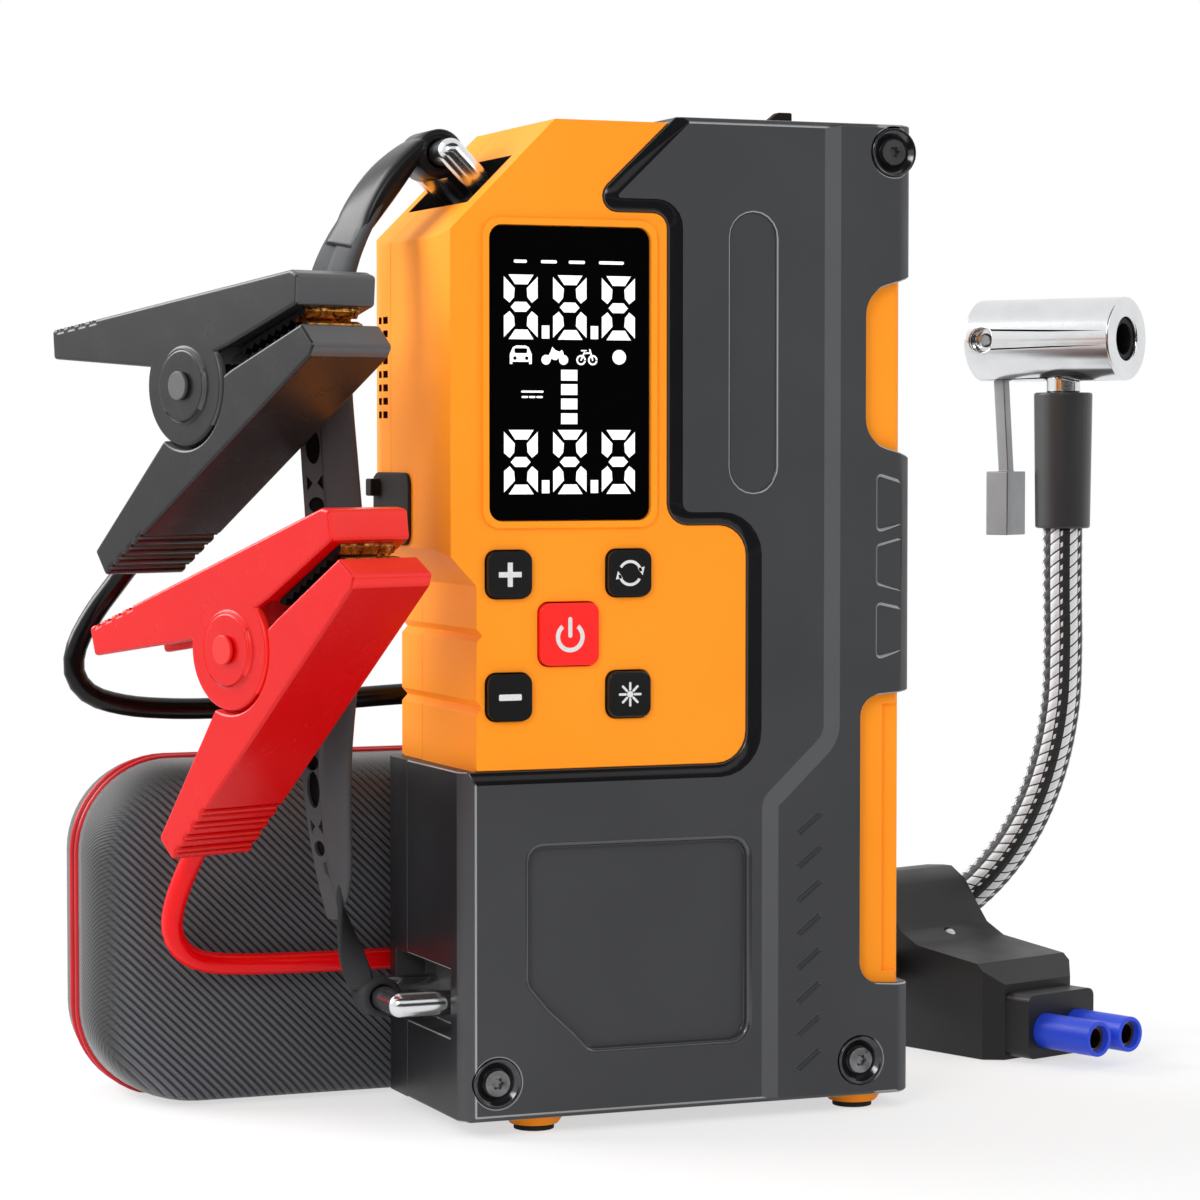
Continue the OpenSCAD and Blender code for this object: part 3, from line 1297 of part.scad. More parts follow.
module chuck_barrel() color(steel) {
    place_chuck() difference() {
        rod_x([-barrel_back, 0, 0], barrel_d / 2, barrel_l);
        rod_x([barrel_l - barrel_back - 16, 0, 0], valve_bore / 2 + 1.6, 20);
        rod_x([barrel_l - barrel_back - 26, 0, 0], valve_bore / 2 - 1.5, 40);
        rod_y([-lever_at, -barrel_d, 0], lever_pin_r + run, 2 * barrel_d);
        rod_y([-lever_at, -barrel_d, 0], 3.2, barrel_d / 2 + 3);
        box_between([-lever_at - 5.6, -lever_w / 2 - 0.3, -barrel_d],
            [-lever_at + 4.2, lever_w / 2 + 0.3, 4.2]);
        box_between([-barrel_back - 1, -lever_w / 2 - 0.3, -4.2], [-lever_at, lever_w / 2 + 0.3, 4.2]);
    }
    translate([hose_top[0], hose_top[1], sleeve_z + sleeve_l]) cylinder(r = neck_r, h = 5);
}

module chuck_seal() color(rubber_black) place_chuck() difference() {
    rod_x([barrel_l - barrel_back - 15.9, 0, 0], valve_bore / 2 + 1.5, 15);
    rod_x([barrel_l - barrel_back - 20, 0, 0], valve_bore / 2, 40);
}

module chuck_lever() color(steel) place_chuck() {
    rod_y([-lever_at, -barrel_d / 2 + 2.2, 0], lever_pin_r, barrel_d - 4.4);
    rod_y([-lever_at, -lever_w / 2, 0], 3.8, lever_w);
    along_y([[-lever_at - 2, 0], [-lever_at + 1.2, 0], [-lever_at + 3.4, -lever_bend - 1],
        [-lever_at + 0.4, -lever_bend - 1]], -lever_w / 2, lever_w / 2);
    box_between([-lever_at - 1.5, -5, -lever_drop], [-lever_at + 5, 5, -lever_bend]);
}

// ---------- storage case ----------

// Ring of the case outline at depth y, a wall's thickness inside it and drawn in by inset
function case_ring(wall, inset, y) = let (in = wall + inset)
    [for (p = round_rect([case_x + in, wall + inset * 0.15], [case_x + case_w - in, case_h - in],
        case_r - in * 0.6)) [p[0], y, p[1]]];

function reversed(list) = [for (i = [len(list) - 1:-1:0]) list[i]];

// Domed half whose open rim is at y = 0 and whose face is at y = -depth
function dome_rings(wall) = [case_ring(wall, 0, wall > 0 ? 1 : 0), case_ring(wall, 0, -case_half * 0.35),
    case_ring(wall, 1.5, -case_half * 0.62), case_ring(wall, 4.5, -case_half * 0.82),
    case_ring(wall, 9, -case_half * 0.95 + wall * 0.6), case_ring(wall, 14, -case_half + wall)];

module case_half_shell() difference() {
    skin(dome_rings(0));
    skin(dome_rings(case_wall));
}

module case_front_shell() color("#2C2D31") translate([0, case_y + case_half, 0]) case_half_shell();

module case_rear_shell() color("#2C2D31") translate([0, case_y + case_half + 2 * case_lip + case_gap, 0])
    mirror([0, 1, 0]) case_half_shell();

// Zip tape with its bead, on the front half's rim
module case_piping() color("#A01220") {
    outer = round_rect([case_x, 0], [case_x + case_w, case_h], case_r, 5);
    inner = round_rect([case_x + case_wall, case_wall], [case_x + case_w - case_wall, case_h - case_wall],
        case_r - case_wall, 5);
    difference() {
        along_y(outer, case_y + case_half, case_y + case_half + 2 * case_lip);
        along_y(inner, case_y + case_half - 1, case_y + case_half + 2 * case_lip + 1);
    }
}

module zip_slider() color(steel) {
    x = case_x + case_w;
    tape = [case_y + case_half, case_y + case_half + 2 * case_lip];
    box_between([x + 0.1, tape[0] + 0.3, case_h / 2 - 4], [x + 2.2, tape[1] - 0.3, case_h / 2 + 4]);
    box_between([x + 2.1, tape[0] + 1, case_h / 2 - 16], [x + 3.4, tape[1] - 1, case_h / 2 + 1]);
}

module place_all() {
    translate([-(foot_low_x + foot_high_x) / 2, -(foot_low_y + foot_high_y) / 2, 0]) children();
}

place_all() front_shell();
place_all() rear_shell();
place_all() front_guard();
place_all() rear_guard();
place_all() guard_screws();
place_all() screw_cups();
place_all() display_lens();
place_all() display_module();
place_all() main_board();
place_all() tact_switches();
place_all() plus_button();
place_all() minus_button();
place_all() mode_button();
place_all() lamp_button();
place_all() power_button();
place_all() battery_cells();
place_all() battery_cradle();
place_all() pump_frame();
place_all() pump_motor();
place_all() motor_pinion();
place_all() crank_gear();
place_all() pump_cylinder();
place_all() pump_piston();
place_all() jump_socket();
place_all() port_cover();
place_all() usb_sockets();
place_all() top_cover();
place_all() lamp_lens();
place_all() air_outlet();
place_all() upper_bar();
place_all() lower_bar();
place_all() carry_strap();
place_all() feet();
place_all() foot_pads();
place_all() black_clamp_lower_arm();
place_all() black_clamp_upper_arm();
place_all() black_clamp_lower_jaw();
place_all() black_clamp_upper_jaw();
place_all() red_clamp_lower_arm();
place_all() red_clamp_upper_arm();
place_all() red_clamp_lower_jaw();
place_all() red_clamp_upper_jaw();
place_all() clamp_pins();
place_all() clamp_springs();
place_all() black_lead();
place_all() red_lead();
place_all() box_upper_shell();
place_all() box_lower_shell();
place_all() jump_plug();
place_all() plug_contacts();
place_all() box_led();
place_all() air_hose();
place_all() hose_sleeve();
place_all() chuck_barrel();
place_all() chuck_lever();
place_all() chuck_seal();
place_all() case_front_shell();
place_all() case_rear_shell();
place_all() case_piping();
place_all() zip_slider();
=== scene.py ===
import math

import bpy
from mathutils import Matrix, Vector
from mathutils.geometry import delaunay_2d_cdt


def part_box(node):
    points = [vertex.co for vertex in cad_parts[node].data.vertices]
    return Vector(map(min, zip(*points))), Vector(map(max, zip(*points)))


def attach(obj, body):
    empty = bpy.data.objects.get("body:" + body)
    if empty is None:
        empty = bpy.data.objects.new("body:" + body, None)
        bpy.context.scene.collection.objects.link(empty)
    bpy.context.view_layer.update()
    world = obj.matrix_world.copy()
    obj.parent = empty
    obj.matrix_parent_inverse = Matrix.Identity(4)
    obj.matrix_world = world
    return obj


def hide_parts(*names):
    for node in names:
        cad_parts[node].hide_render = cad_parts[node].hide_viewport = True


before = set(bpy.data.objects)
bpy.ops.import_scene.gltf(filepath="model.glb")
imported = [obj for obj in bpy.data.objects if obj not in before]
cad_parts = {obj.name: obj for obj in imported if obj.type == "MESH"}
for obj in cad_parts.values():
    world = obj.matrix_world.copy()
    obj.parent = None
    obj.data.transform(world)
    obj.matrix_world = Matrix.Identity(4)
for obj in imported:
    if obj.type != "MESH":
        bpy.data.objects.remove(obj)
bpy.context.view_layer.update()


# ---------- studio ----------
# A sheet of white paper runs from under the set to the horizon. A broad soft lamp stands behind
# the set's left side, with weaker ones in front of it on the left and right, and four grey
# cards, which only reflections see, give the chrome its dark bands.

def ink(code):
    """Linear colour of an sRGB hex value."""
    parts = [int(code[i:i + 2], 16) / 255 for i in (1, 3, 5)]
    return tuple(c / 12.92 if c <= 0.04045 else ((c + 0.055) / 1.055) ** 2.4 for c in parts) + (1,)


def add(tree, kind, settings=None, **inputs):
    """One shader node: its settings, and its inputs by name or by number. An input is a value, a
    socket, or a node, which stands for its first live output."""
    knot = tree.nodes.new("ShaderNode" + kind)
    for key, value in (settings or {}).items():
        setattr(knot, key, value)
    for key, value in inputs.items():
        entry = knot.inputs[int(key[1:]) if key[1:].isdigit() else key.replace("_", " ")]
        if isinstance(value, bpy.types.Node):
            value = next(outlet for outlet in value.outputs if outlet.enabled)
        if isinstance(value, bpy.types.NodeSocket):
            tree.links.new(value, entry)
        else:
            entry.default_value = value
    return knot


def fresh(name):
    """An empty material and its node tree."""
    finish = bpy.data.materials.new(name)
    finish.use_nodes = True
    finish.node_tree.nodes.clear()
    return finish, finish.node_tree


def placed(name, data):
    """A new object in the scene."""
    obj = bpy.data.objects.new(name, data)
    bpy.context.scene.collection.objects.link(obj)
    return obj


# The camera looks from the set's front left, a little above its middle
sight = Vector((0.3743, 0.9264, -0.0419))
camera = placed("camera", bpy.data.cameras.new("camera"))
camera.location = (-0.29826, -0.81607, 0.154)
camera.rotation_euler = sight.to_track_quat("-Z", "Y").to_euler()
camera.data.lens = 110.1
camera.data.sensor_width = 36
camera.data.clip_start = 0.01
bpy.context.scene.camera = camera
bpy.context.scene.view_settings.view_transform = "Standard"

world = bpy.data.worlds.new("soft_room")
bpy.context.scene.world = world
world.use_nodes = True
tree = world.node_tree
tree.nodes.clear()
ray = add(tree, "LightPath")
mirror = add(tree, "Math", {"operation": "MAXIMUM"}, i0=ray.outputs["Is Glossy Ray"],
    i1=ray.outputs["Is Transmission Ray"])
seen = add(tree, "Math", {"operation": "MAXIMUM"}, i0=mirror, i1=ray.outputs["Is Camera Ray"])
room_light = add(tree, "Background", Color=ink("#FFFFFF"), Strength=0.72)
room_white = add(tree, "Background", Color=ink("#FFFFFF"), Strength=1.0)
room = add(tree, "MixShader", i0=seen, i1=room_light, i2=room_white)
add(tree, "OutputWorld", Surface=room)

# Matt paper, which camera and reflections see fade to plain white between 0.10 and 0.42 m off.
# Its fibres are finer than 1.1 mm, and are drawn at that width so that they show
paper, tree = fresh("white_paper_floor")
where = add(tree, "TexCoord").outputs["Object"]
grain = add(tree, "TexNoise", Vector=where, Scale=1000 / 1.1, Detail=2.0)
tint = add(tree, "Mix", {"data_type": "RGBA"}, i0=grain, i6=ink("#F7F7F7"), i7=ink("#FAFAFA"))
near = add(tree, "BsdfDiffuse", Color=tint)
far = add(tree, "Emission", Color=ink("#FFFFFF"), Strength=1.0)
reach = add(tree, "VectorMath", {"operation": "LENGTH"}, i0=where)
fade = add(tree, "MapRange", {"interpolation_type": "SMOOTHSTEP"}, Value=reach, i1=0.10, i2=0.42, i3=0.62)
ray = add(tree, "LightPath")
both = add(tree, "Math", {"operation": "MAXIMUM"}, i0=ray.outputs["Is Camera Ray"],
    i1=ray.outputs["Is Glossy Ray"])
share = add(tree, "Math", {"operation": "MULTIPLY"}, i0=fade, i1=both)
blended = add(tree, "MixShader", i0=share, i1=near, i2=far)
add(tree, "OutputMaterial", Surface=blended)

floor_mesh = bpy.data.meshes.new("floor")
rim = [(6 * math.cos(math.tau * k / 64), 6 * math.sin(math.tau * k / 64), -0.0002) for k in range(64)]
floor_mesh.from_pydata(rim, [], [list(range(64))])
floor = placed("floor", floor_mesh)
floor.data.materials.append(paper)

# Dark grey card: matt, so that chrome shows it as a soft band. Only reflections see its fibres,
# which are drawn 8 mm across
card_grey, tree = fresh("grey_card")
where = add(tree, "TexCoord").outputs["Object"]
fibre = add(tree, "TexNoise", Vector=where, Scale=1000 / 8)
shade = add(tree, "Mix", {"data_type": "RGBA"}, i0=fibre, i6=ink("#212121"), i7=ink("#303030"))
card_face = add(tree, "BsdfDiffuse", Color=shade)
add(tree, "OutputMaterial", Surface=card_face)
for name, corners in (
        ("card_over", [(-1.2, -1.0, 1.0), (1.2, -1.0, 1.0), (1.2, -0.35, 1.25), (-1.2, -0.35, 1.25)]),
        ("card_right", [(1.1, -0.9, 0.0), (1.1, -0.55, 0.0), (1.1, -0.55, 1.0), (1.1, -0.9, 1.0)]),
        ("card_low", [(-1.5, -1.6, 0.004), (1.5, -1.6, 0.004), (1.5, -0.22, 0.004), (-1.5, -0.22, 0.004)]),
        ("card_behind", [(-2.0, -2.2, 0.0), (2.0, -2.2, 0.0), (2.0, -2.2, 0.9), (-2.0, -2.2, 0.9)])):
    card_mesh = bpy.data.meshes.new(name)
    card_mesh.from_pydata(corners, [], [(0, 1, 2, 3)])
    card = placed(name, card_mesh)
    card.data.materials.append(card_grey)
    card.visible_camera = False
    card.visible_diffuse = False
    card.visible_transmission = False
    card.visible_shadow = False

for name, place, aim, size, power in (
        ("lamp_left", (-0.95, -1.05, 0.85), (0.0, 0.0, 0.12), 0.45, 6.0),
        ("lamp_side", (-1.05, 0.75, 0.8), (-0.02, 0.0, 0.14), 0.9, 24.0),
        ("lamp_right", (1.0, -0.9, 0.7), (0.05, 0.0, 0.12), 0.7, 2.5)):
    lamp = placed(name, bpy.data.lights.new(name, "AREA"))
    lamp.location = place
    lamp.rotation_euler = (Vector(aim) - Vector(place)).to_track_quat("-Z", "Y").to_euler()
    lamp.data.size = size
    lamp.data.energy = power


# ---------- clamp leads ----------
# Two stranded copper leads in soft PVC, 5 mm across, run from the clamps' handles behind the
# pack to the smart box. Extruded PVC is smooth and shines along its top, with faint cross
# scuffs, and each lead leaves the box through a ribbed rubber boot pushed over its gland.

pack_x, pack_y = 32.5, -27.55


def spot(x, y, z):
    """Point in the shared frame, from millimetres off the pack's own middle."""
    return Vector((x + pack_x, y + pack_y, z)) / 1000


def smooth_line(points, step):
    """Evenly spaced points on one smooth curve through the given ones."""
    ends = [points[0] * 2 - points[1]] + points + [points[-1] * 2 - points[-2]]
    cuts = 16       # Between two given points
    fine = []
    for a, b, c, d in zip(ends, ends[1:], ends[2:], ends[3:]):
        for k in range(cuts):
            t = k / cuts
            fine.append(0.5 * (2 * b + (c - a) * t + (2 * a - 5 * b + 4 * c - d) * t * t
                + (3 * b - a - 3 * c + d) * t ** 3))
    fine.append(points[-1])
    along = [0.0]
    for a, b in zip(fine, fine[1:]):
        along.append(along[-1] + (b - a).length)
    count = max(2, round(along[-1] / step))
    line, at = [], 0
    for k in range(count + 1):
        goal = along[-1] * k / count
        while at < len(along) - 2 and along[at + 1] < goal:
            at += 1
        span = along[at + 1] - along[at]
        line.append(fine[at].lerp(fine[at + 1], (goal - along[at]) / span if span else 0.0))
    return line


def carried(line):
    """For each point of a line: the way forward and two sideways directions that don't twist."""
    side = Vector((0.31, -0.22, 0.93))
    turns = []
    for i in range(len(line)):
        ahead = (line[min(i + 1, len(line) - 1)] - line[max(i - 1, 0)]).normalized()
        side = (side - ahead * side.dot(ahead)).normalized()
        turns.append((ahead, side, ahead.cross(side)))
    return turns


def loft(rings, capped=True):
    """Vertices and faces of a skin over rings of the same length."""
    size = len(rings[0])
    verts = [p for ring in rings for p in ring]
    faces = [(i * size + k, i * size + (k + 1) % size, (i + 1) * size + (k + 1) % size,
        (i + 1) * size + k) for i in range(len(rings) - 1) for k in range(size)]
    if capped:
        faces.append(tuple(reversed(range(size))))
        faces.append(tuple(range((len(rings) - 1) * size, len(rings) * size)))
    return verts, faces


def merged(parts):
    """Vertices and faces of several shapes as one."""
    verts, faces = [], []
    for more_verts, more_faces in parts:
        shift = len(verts)
        verts.extend(more_verts)
        faces.extend(tuple(i + shift for i in f) for f in more_faces)
    return verts, faces


def piece(name, shape, finish, body="root", smooth=True):
    """A new piece of the set, riding on its body."""
    mesh = bpy.data.meshes.new(name)
    mesh.from_pydata([tuple(v) for v in shape[0]], [], shape[1])
    mesh.polygons.foreach_set("use_smooth", [smooth] * len(mesh.polygons))
    mesh.update()
    obj = placed(name, mesh)
    obj.data.materials.append(finish)
    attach(obj, body)
    return obj


def turned(start, ahead, profile, steps):
    """Lathe-turned shape: the profile's [distance, radius] pairs in mm along a direction."""
    ahead = Vector(ahead).normalized()
    side = ahead.orthogonal().normalized()
    over = ahead.cross(side)
    rings = [[start + (ahead * d + side * (r * math.cos(math.tau * k / steps))
        + over * (r * math.sin(math.tau * k / steps))) / 1000 for k in range(steps)] for d, r in profile]
    return loft(rings)


def extruded_pvc(name, colour, deep, roughness):
    """Extruded soft PVC: a smooth skin that shines in a line, faintly cloudy every 17 mm, and
    scuffed 0.7 mm across so that the line of light breaks a little."""
    finish, tree = fresh(name)
    where = add(tree, "TexCoord").outputs["Object"]
    cloud = add(tree, "TexNoise", Vector=where, Scale=1000 / 16.7, Detail=3.0)
    colours = add(tree, "Mix", {"data_type": "RGBA"}, i0=cloud, i6=ink(colour), i7=ink(deep))
    scuff = add(tree, "TexNoise", Vector=where, Scale=1000 / 0.7, Detail=4.0)
    dull = add(tree, "MapRange", Value=scuff, i3=roughness - 0.07, i4=roughness + 0.1)
    relief = add(tree, "Bump", Strength=0.4, Distance=0.00002, Height=scuff)
    skin = add(tree, "BsdfPrincipled", Base_Color=colours, Roughness=dull,
        IOR=1.53, Specular_IOR_Level=0.22, Normal=relief)
    add(tree, "OutputMaterial", Surface=skin)
    return finish


black_route = [spot(*p) for p in (
    (-110, 30.2, 133.4), (-111.4, 33.9, 130.9), (-112.8, 37.5, 128.3), (-116.2, 43, 122),
    (-120.4, 46.8, 115), (-124, 48.4, 107.5), (-124.4, 49, 101), (-120.5, 49.2, 96),
    (-112.5, 49, 93.4), (-103, 48.4, 92.4), (-92, 47, 92.2), (-78, 44.6, 92.8), (-62, 41.6, 94),
    (-46, 39.2, 95), (-28, 38, 95.5), (-10, 37.8, 95), (8, 38, 93), (24, 38.5, 88.5),
    (38, 39.5, 81), (50, 41.5, 71.5), (59, 45, 61), (66, 49.5, 51), (72, 55, 41.5),
    (75.6, 59.2, 34.5), (78.7, 61.6, 31), (82.5, 62.9, 31))]
red_route = [spot(*p) for p in (
    (-101.7, 8.6, 70.9), (-102.9, 11.7, 67.6), (-104, 14.7, 64.4), (-106, 18.9, 57.5),
    (-107.9, 22, 50), (-108, 24.6, 43.4), (-105, 27, 38), (-99, 29.4, 34.8), (-90, 30.7, 33.6),
    (-78, 31, 33.2), (-64, 31, 33), (-50, 31, 33), (-34, 31, 32.6), (-18, 31, 32),
    (-2, 31, 31.4), (14, 31, 30.6), (30, 31, 29.6), (44, 32, 28.4), (56, 35.5, 26.8),
    (66, 41, 25), (74.5, 48.2, 22), (81.5, 53.1, 20), (85.3, 54.4, 20))]
for colour_name, route, length, finish in (
        ("black", black_route, 0.287, extruded_pvc("black_pvc", "#0A0A0B", "#050506", 0.2)),
        ("red", red_route, 0.240, extruded_pvc("red_pvc", "#E80008", "#D20006", 0.2))):
    cable = bpy.data.curves.new(colour_name + "_cable", "CURVE")
    cable.dimensions = "3D"
    cable.bevel_depth = 0.0025
    cable.bevel_resolution = 8
    cable.use_fill_caps = True
    line = smooth_line(route, 0.003)
    spline = cable.splines.new("POLY")
    spline.points.add(len(line) - 1)
    for point, at in zip(spline.points, line):
        point.co = (*at, 1)
    spline.use_smooth = True
    lead = placed(colour_name + "_cable", cable)
    cable.materials.append(finish)
    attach(lead, "root")
    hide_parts(colour_name + "_lead")
    # The boot covers the lead's last five steps, and its five ribs stand 2.2 mm apart
    boot_start = line[-6]
    boot_way = line[-1] - line[-6]
    ribs = [(0, 2.7)]
    for rib in range(5):
        ribs += [(1 + 2.2 * rib, 3.0 + 0.16 * rib), (1.7 + 2.2 * rib, 3.5 + 0.1 * rib),
            (2.4 + 2.2 * rib, 3.5 + 0.1 * rib), (3.0 + 2.2 * rib, 3.05 + 0.16 * rib)]
    ribs.append((boot_way.length * 1000, 4.1))
    boot_rubber = extruded_pvc(colour_name + "_boot_rubber", "#18181A", "#101012", 0.55)
    piece(colour_name + "_boot", turned(boot_start, boot_way, ribs, 28), boot_rubber)


# ---------- air hose ----------
# A rubber hose under a round braid of black and silver-white polyester yarns, 10.8 mm across,
# from the brass outlet behind the pack to the chuck's sleeve. Six white strips of slanting
# stitches run along it between six black ones, and each stitch stands up as a small pillow.

hose_route = [spot(*p) for p in (
    (46, 36, 50), (46, 46, 50), (47, 57, 48.5), (50, 68, 44.5), (56, 78, 38.5), (65, 86.5, 31.5),
    (77, 92.5, 25.5), (90, 95.5, 22), (103, 95, 21.5), (115, 91.5, 24.5), (125.5, 86.5, 31),
    (134.5, 81, 41), (141.5, 76.5, 53.5), (146.3, 73.4, 68), (149, 71.6, 84), (149.6, 71.2, 100),
    (149.4, 71.2, 116), (149.4, 71.2, 132.2))]
stitch = 3.0    # Length of a stitch along the hose, in mm
strips = 6
slant = 1.3     # How far a stitch leans over one strip, in stitches

# Braided polyester yarn: soft and silky, white stitches and fine white dots on jet black.
# COMPARE is 1 within a half width of a middle: strips and dots by their place in a repeat
braid, tree = fresh("black_and_white_braid")
unwrapped = add(tree, "UVMap", {"uv_map": "braid"})
axes = add(tree, "SeparateXYZ", Vector=unwrapped)
strip_at = add(tree, "Math", {"operation": "FRACT"}, i0=axes.outputs["X"])
white_strip = add(tree, "Math", {"operation": "COMPARE"}, i0=strip_at, i1=0.25, i2=0.235)
slope = add(tree, "Math", {"operation": "MULTIPLY_ADD"}, i0=strip_at, i1=-slant, i2=axes.outputs["Y"])
along_stitch = add(tree, "Math", {"operation": "FRACT"}, i0=slope)
in_stitch = add(tree, "Math", {"operation": "COMPARE"}, i0=along_stitch, i1=0.5, i2=0.42)
white_yarn = add(tree, "Math", {"operation": "MULTIPLY"}, i0=white_strip, i1=in_stitch)
dot_side = add(tree, "Math", {"operation": "COMPARE"}, i0=strip_at, i1=0.60, i2=0.055)
dot_row = add(tree, "Math", {"operation": "COMPARE"}, i0=along_stitch, i1=0.25, i2=0.2)
dot = add(tree, "Math", {"operation": "MULTIPLY"}, i0=dot_side, i1=dot_row)
pale = add(tree, "Math", {"operation": "MAXIMUM"}, i0=white_yarn, i1=dot)
# Filaments in a yarn are far finer than 0.25 mm, and are drawn at that width so that they show
filament = add(tree, "TexNoise", Vector=unwrapped, Scale=stitch / 0.25, Detail=3.0)
silver = add(tree, "Mix", {"data_type": "RGBA"}, i0=filament, i6=ink("#F2F3F4"), i7=ink("#B4B8BC"))
jet = add(tree, "Mix", {"data_type": "RGBA"}, i0=filament, i6=ink("#1B1B1D"), i7=ink("#050506"))
yarns = add(tree, "Mix", {"data_type": "RGBA"}, i0=pale, i6=jet, i7=silver)
yarn_relief = add(tree, "Bump", Strength=0.7, Distance=0.0001, Height=filament)
yarn_skin = add(tree, "BsdfPrincipled", Base_Color=yarns, Roughness=0.52, Sheen_Weight=0.25,
    Sheen_Roughness=0.4, IOR=1.5, Normal=yarn_relief)
add(tree, "OutputMaterial", Surface=yarn_skin)

ring_gap = 0.4      # mm from one ring of points to the next
around = 72         # Points in a ring
hose_low, pillow_high = 0.00505, 0.00035
hose_line = smooth_line(hose_route, ring_gap / 1000)
hose_rings = []
for i, (at, (ahead, side, over)) in enumerate(zip(hose_line, carried(hose_line))):
    v = i * ring_gap / stitch
    ring = []
    for k in range(around):
        u = k / around * strips
        pillow = abs(math.sin(math.pi * ((v - slant * (u % 1)) % 1))) ** 0.5
        across = abs(math.sin(math.tau * (u % 1)))
        radius = hose_low + pillow_high * pillow * (0.35 + 0.65 * across)
        a = math.tau * k / around
        ring.append(at + radius * (side * math.cos(a) + over * math.sin(a)))
    hose_rings.append(ring)
hose = piece("braided_hose", loft(hose_rings), braid)
unwrap = hose.data.uv_layers.new(name="braid")
for polygon in hose.data.polygons:
    if len(polygon.vertices) == 4:
        row = polygon.vertices[0] // around
        column = polygon.vertices[0] % around
        corners = ((column, row), (column + 1, row), (column + 1, row + 1), (column, row + 1))
        for loop, (c, r) in zip(polygon.loop_indices, corners):
            unwrap.data[loop].uv = (c / around * strips, r * ring_gap / stitch)
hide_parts("air_hose")


# ---------- orange housing ----------
# The front and rear halves are injection moulded in orange ABS, 2.5 mm thick, and meet in a
# thin upright seam round the sides. The mould is finely spark-eroded, which gives the plastic
# an even satin face, and its edges are drawn over softly.

def moulded(name, colour, deep, roughness, grain_mm=0.35, grain_depth=0.006, shine=0.28):
    """Injection-moulded plastic: a fine even grain from the mould, clouds of a deeper colour
    45 mm across where it flowed, and duller patches 11 mm across where hands have been."""
    finish, tree = fresh(name)
    where = add(tree, "TexCoord").outputs["Object"]
    flow = add(tree, "TexNoise", Vector=where, Scale=1000 / 45, Detail=2.0, Distortion=0.6)
    colours = add(tree, "Mix", {"data_type": "RGBA"}, i0=flow, i6=ink(colour), i7=ink(deep))
    pits = add(tree, "TexNoise", Vector=where, Scale=1000 / grain_mm, Detail=2.0, Roughness=0.6)
    touch = add(tree, "TexNoise", Vector=where, Scale=1000 / 11.1, Detail=4.0, Roughness=0.65)
    dull = add(tree, "MapRange", Value=touch, i1=0.3, i2=0.7, i3=roughness * 0.92, i4=roughness * 1.1)
    relief = add(tree, "Bump", Strength=0.6, Distance=grain_depth / 1000, Height=pits)
    skin = add(tree, "BsdfPrincipled", Base_Color=colours, Roughness=dull,
        IOR=1.53, Specular_IOR_Level=shine, Normal=relief)
    add(tree, "OutputMaterial", Surface=skin)
    return finish


def dress(node, finish, *others):
    """Gives a CAD part its finish, and others for some of its faces, and returns its object."""
    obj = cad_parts[node]
    for entry in obj.material_slots:
        entry.material = finish
    for other in others:
        obj.data.materials.append(other)
    return obj


def eased(obj, width_mm, angle=32, segments=2, rim=-1, clamped=False):
    """Breaks the sharp edges of a CAD part by a small radius, in its own finish or in slot rim."""
    for polygon in obj.data.polygons:
        polygon.use_smooth = True
    weld = obj.modifiers.new("weld", "WELD")
    weld.merge_threshold = 0.00001
    flat = obj.modifiers.new("flat", "DECIMATE")
    flat.decimate_type = "DISSOLVE"
    flat.angle_limit = math.radians(0.5)
    # A vertex group is the rim of a pressed recess: it is rounded first, in the last finish
    for group in obj.vertex_groups:
        soft = obj.modifiers.new(group.name, "BEVEL")
        soft.limit_method = "VGROUP"
        soft.vertex_group = group.name
        soft.width = 0.0012
        soft.segments = 5
        soft.material = len(obj.data.materials) - 1
    ease = obj.modifiers.new("ease", "BEVEL")
    ease.width = width_mm / 1000
    ease.segments = segments
    ease.limit_method = "ANGLE"
    ease.angle_limit = math.radians(angle)
    ease.use_clamp_overlap = clamped
    ease.material = rim
    even = obj.modifiers.new("even", "WEIGHTED_NORMAL")
    even.weight = 60
    even.keep_sharp = True
    return obj


def unit_mm(point):
    """A point's place in millimetres off the pack's own middle, as spot() takes it."""
    return point.x * 1000 - pack_x, point.y * 1000 - pack_y, point.z * 1000


orange_abs = moulded("orange_abs", "#FF9C2C", "#FF9220", 0.46, shine=0.05)
# The upper bar's pocket and the vents' walls are painted with shade: near-black and dark red-brown
painted_pocket_shade = moulded("pocket_painted_shade", "#161618", "#0E0E0F", 0.4)
vent_shade = moulded("vent_painted_shade", "#6A1A08", "#541206", 0.6)
for node in ("front_shell", "rear_shell"):
    shell = dress(node, orange_abs, painted_pocket_shade, vent_shade)
    for polygon in shell.data.polygons:
        x, y, z = unit_mm(polygon.center)
        # Painted shade: the upper bar's pocket, by its place along the cut-off corner and under it, or a vent
        along, deep = (x + z - 167.2) * math.sqrt(0.5), (x - z + 259.9) * math.sqrt(0.5)
        if 0.15 < deep < 7.4 and abs(along) < 7.8 and -19.3 < y < 21.3:
            polygon.material_index = 1
        elif -59.45 < x < -56.9 and 13.0 < y < 21.0 and abs(polygon.normal.x) < 0.5:
            polygon.material_index = 2
    eased(shell, 0.22)
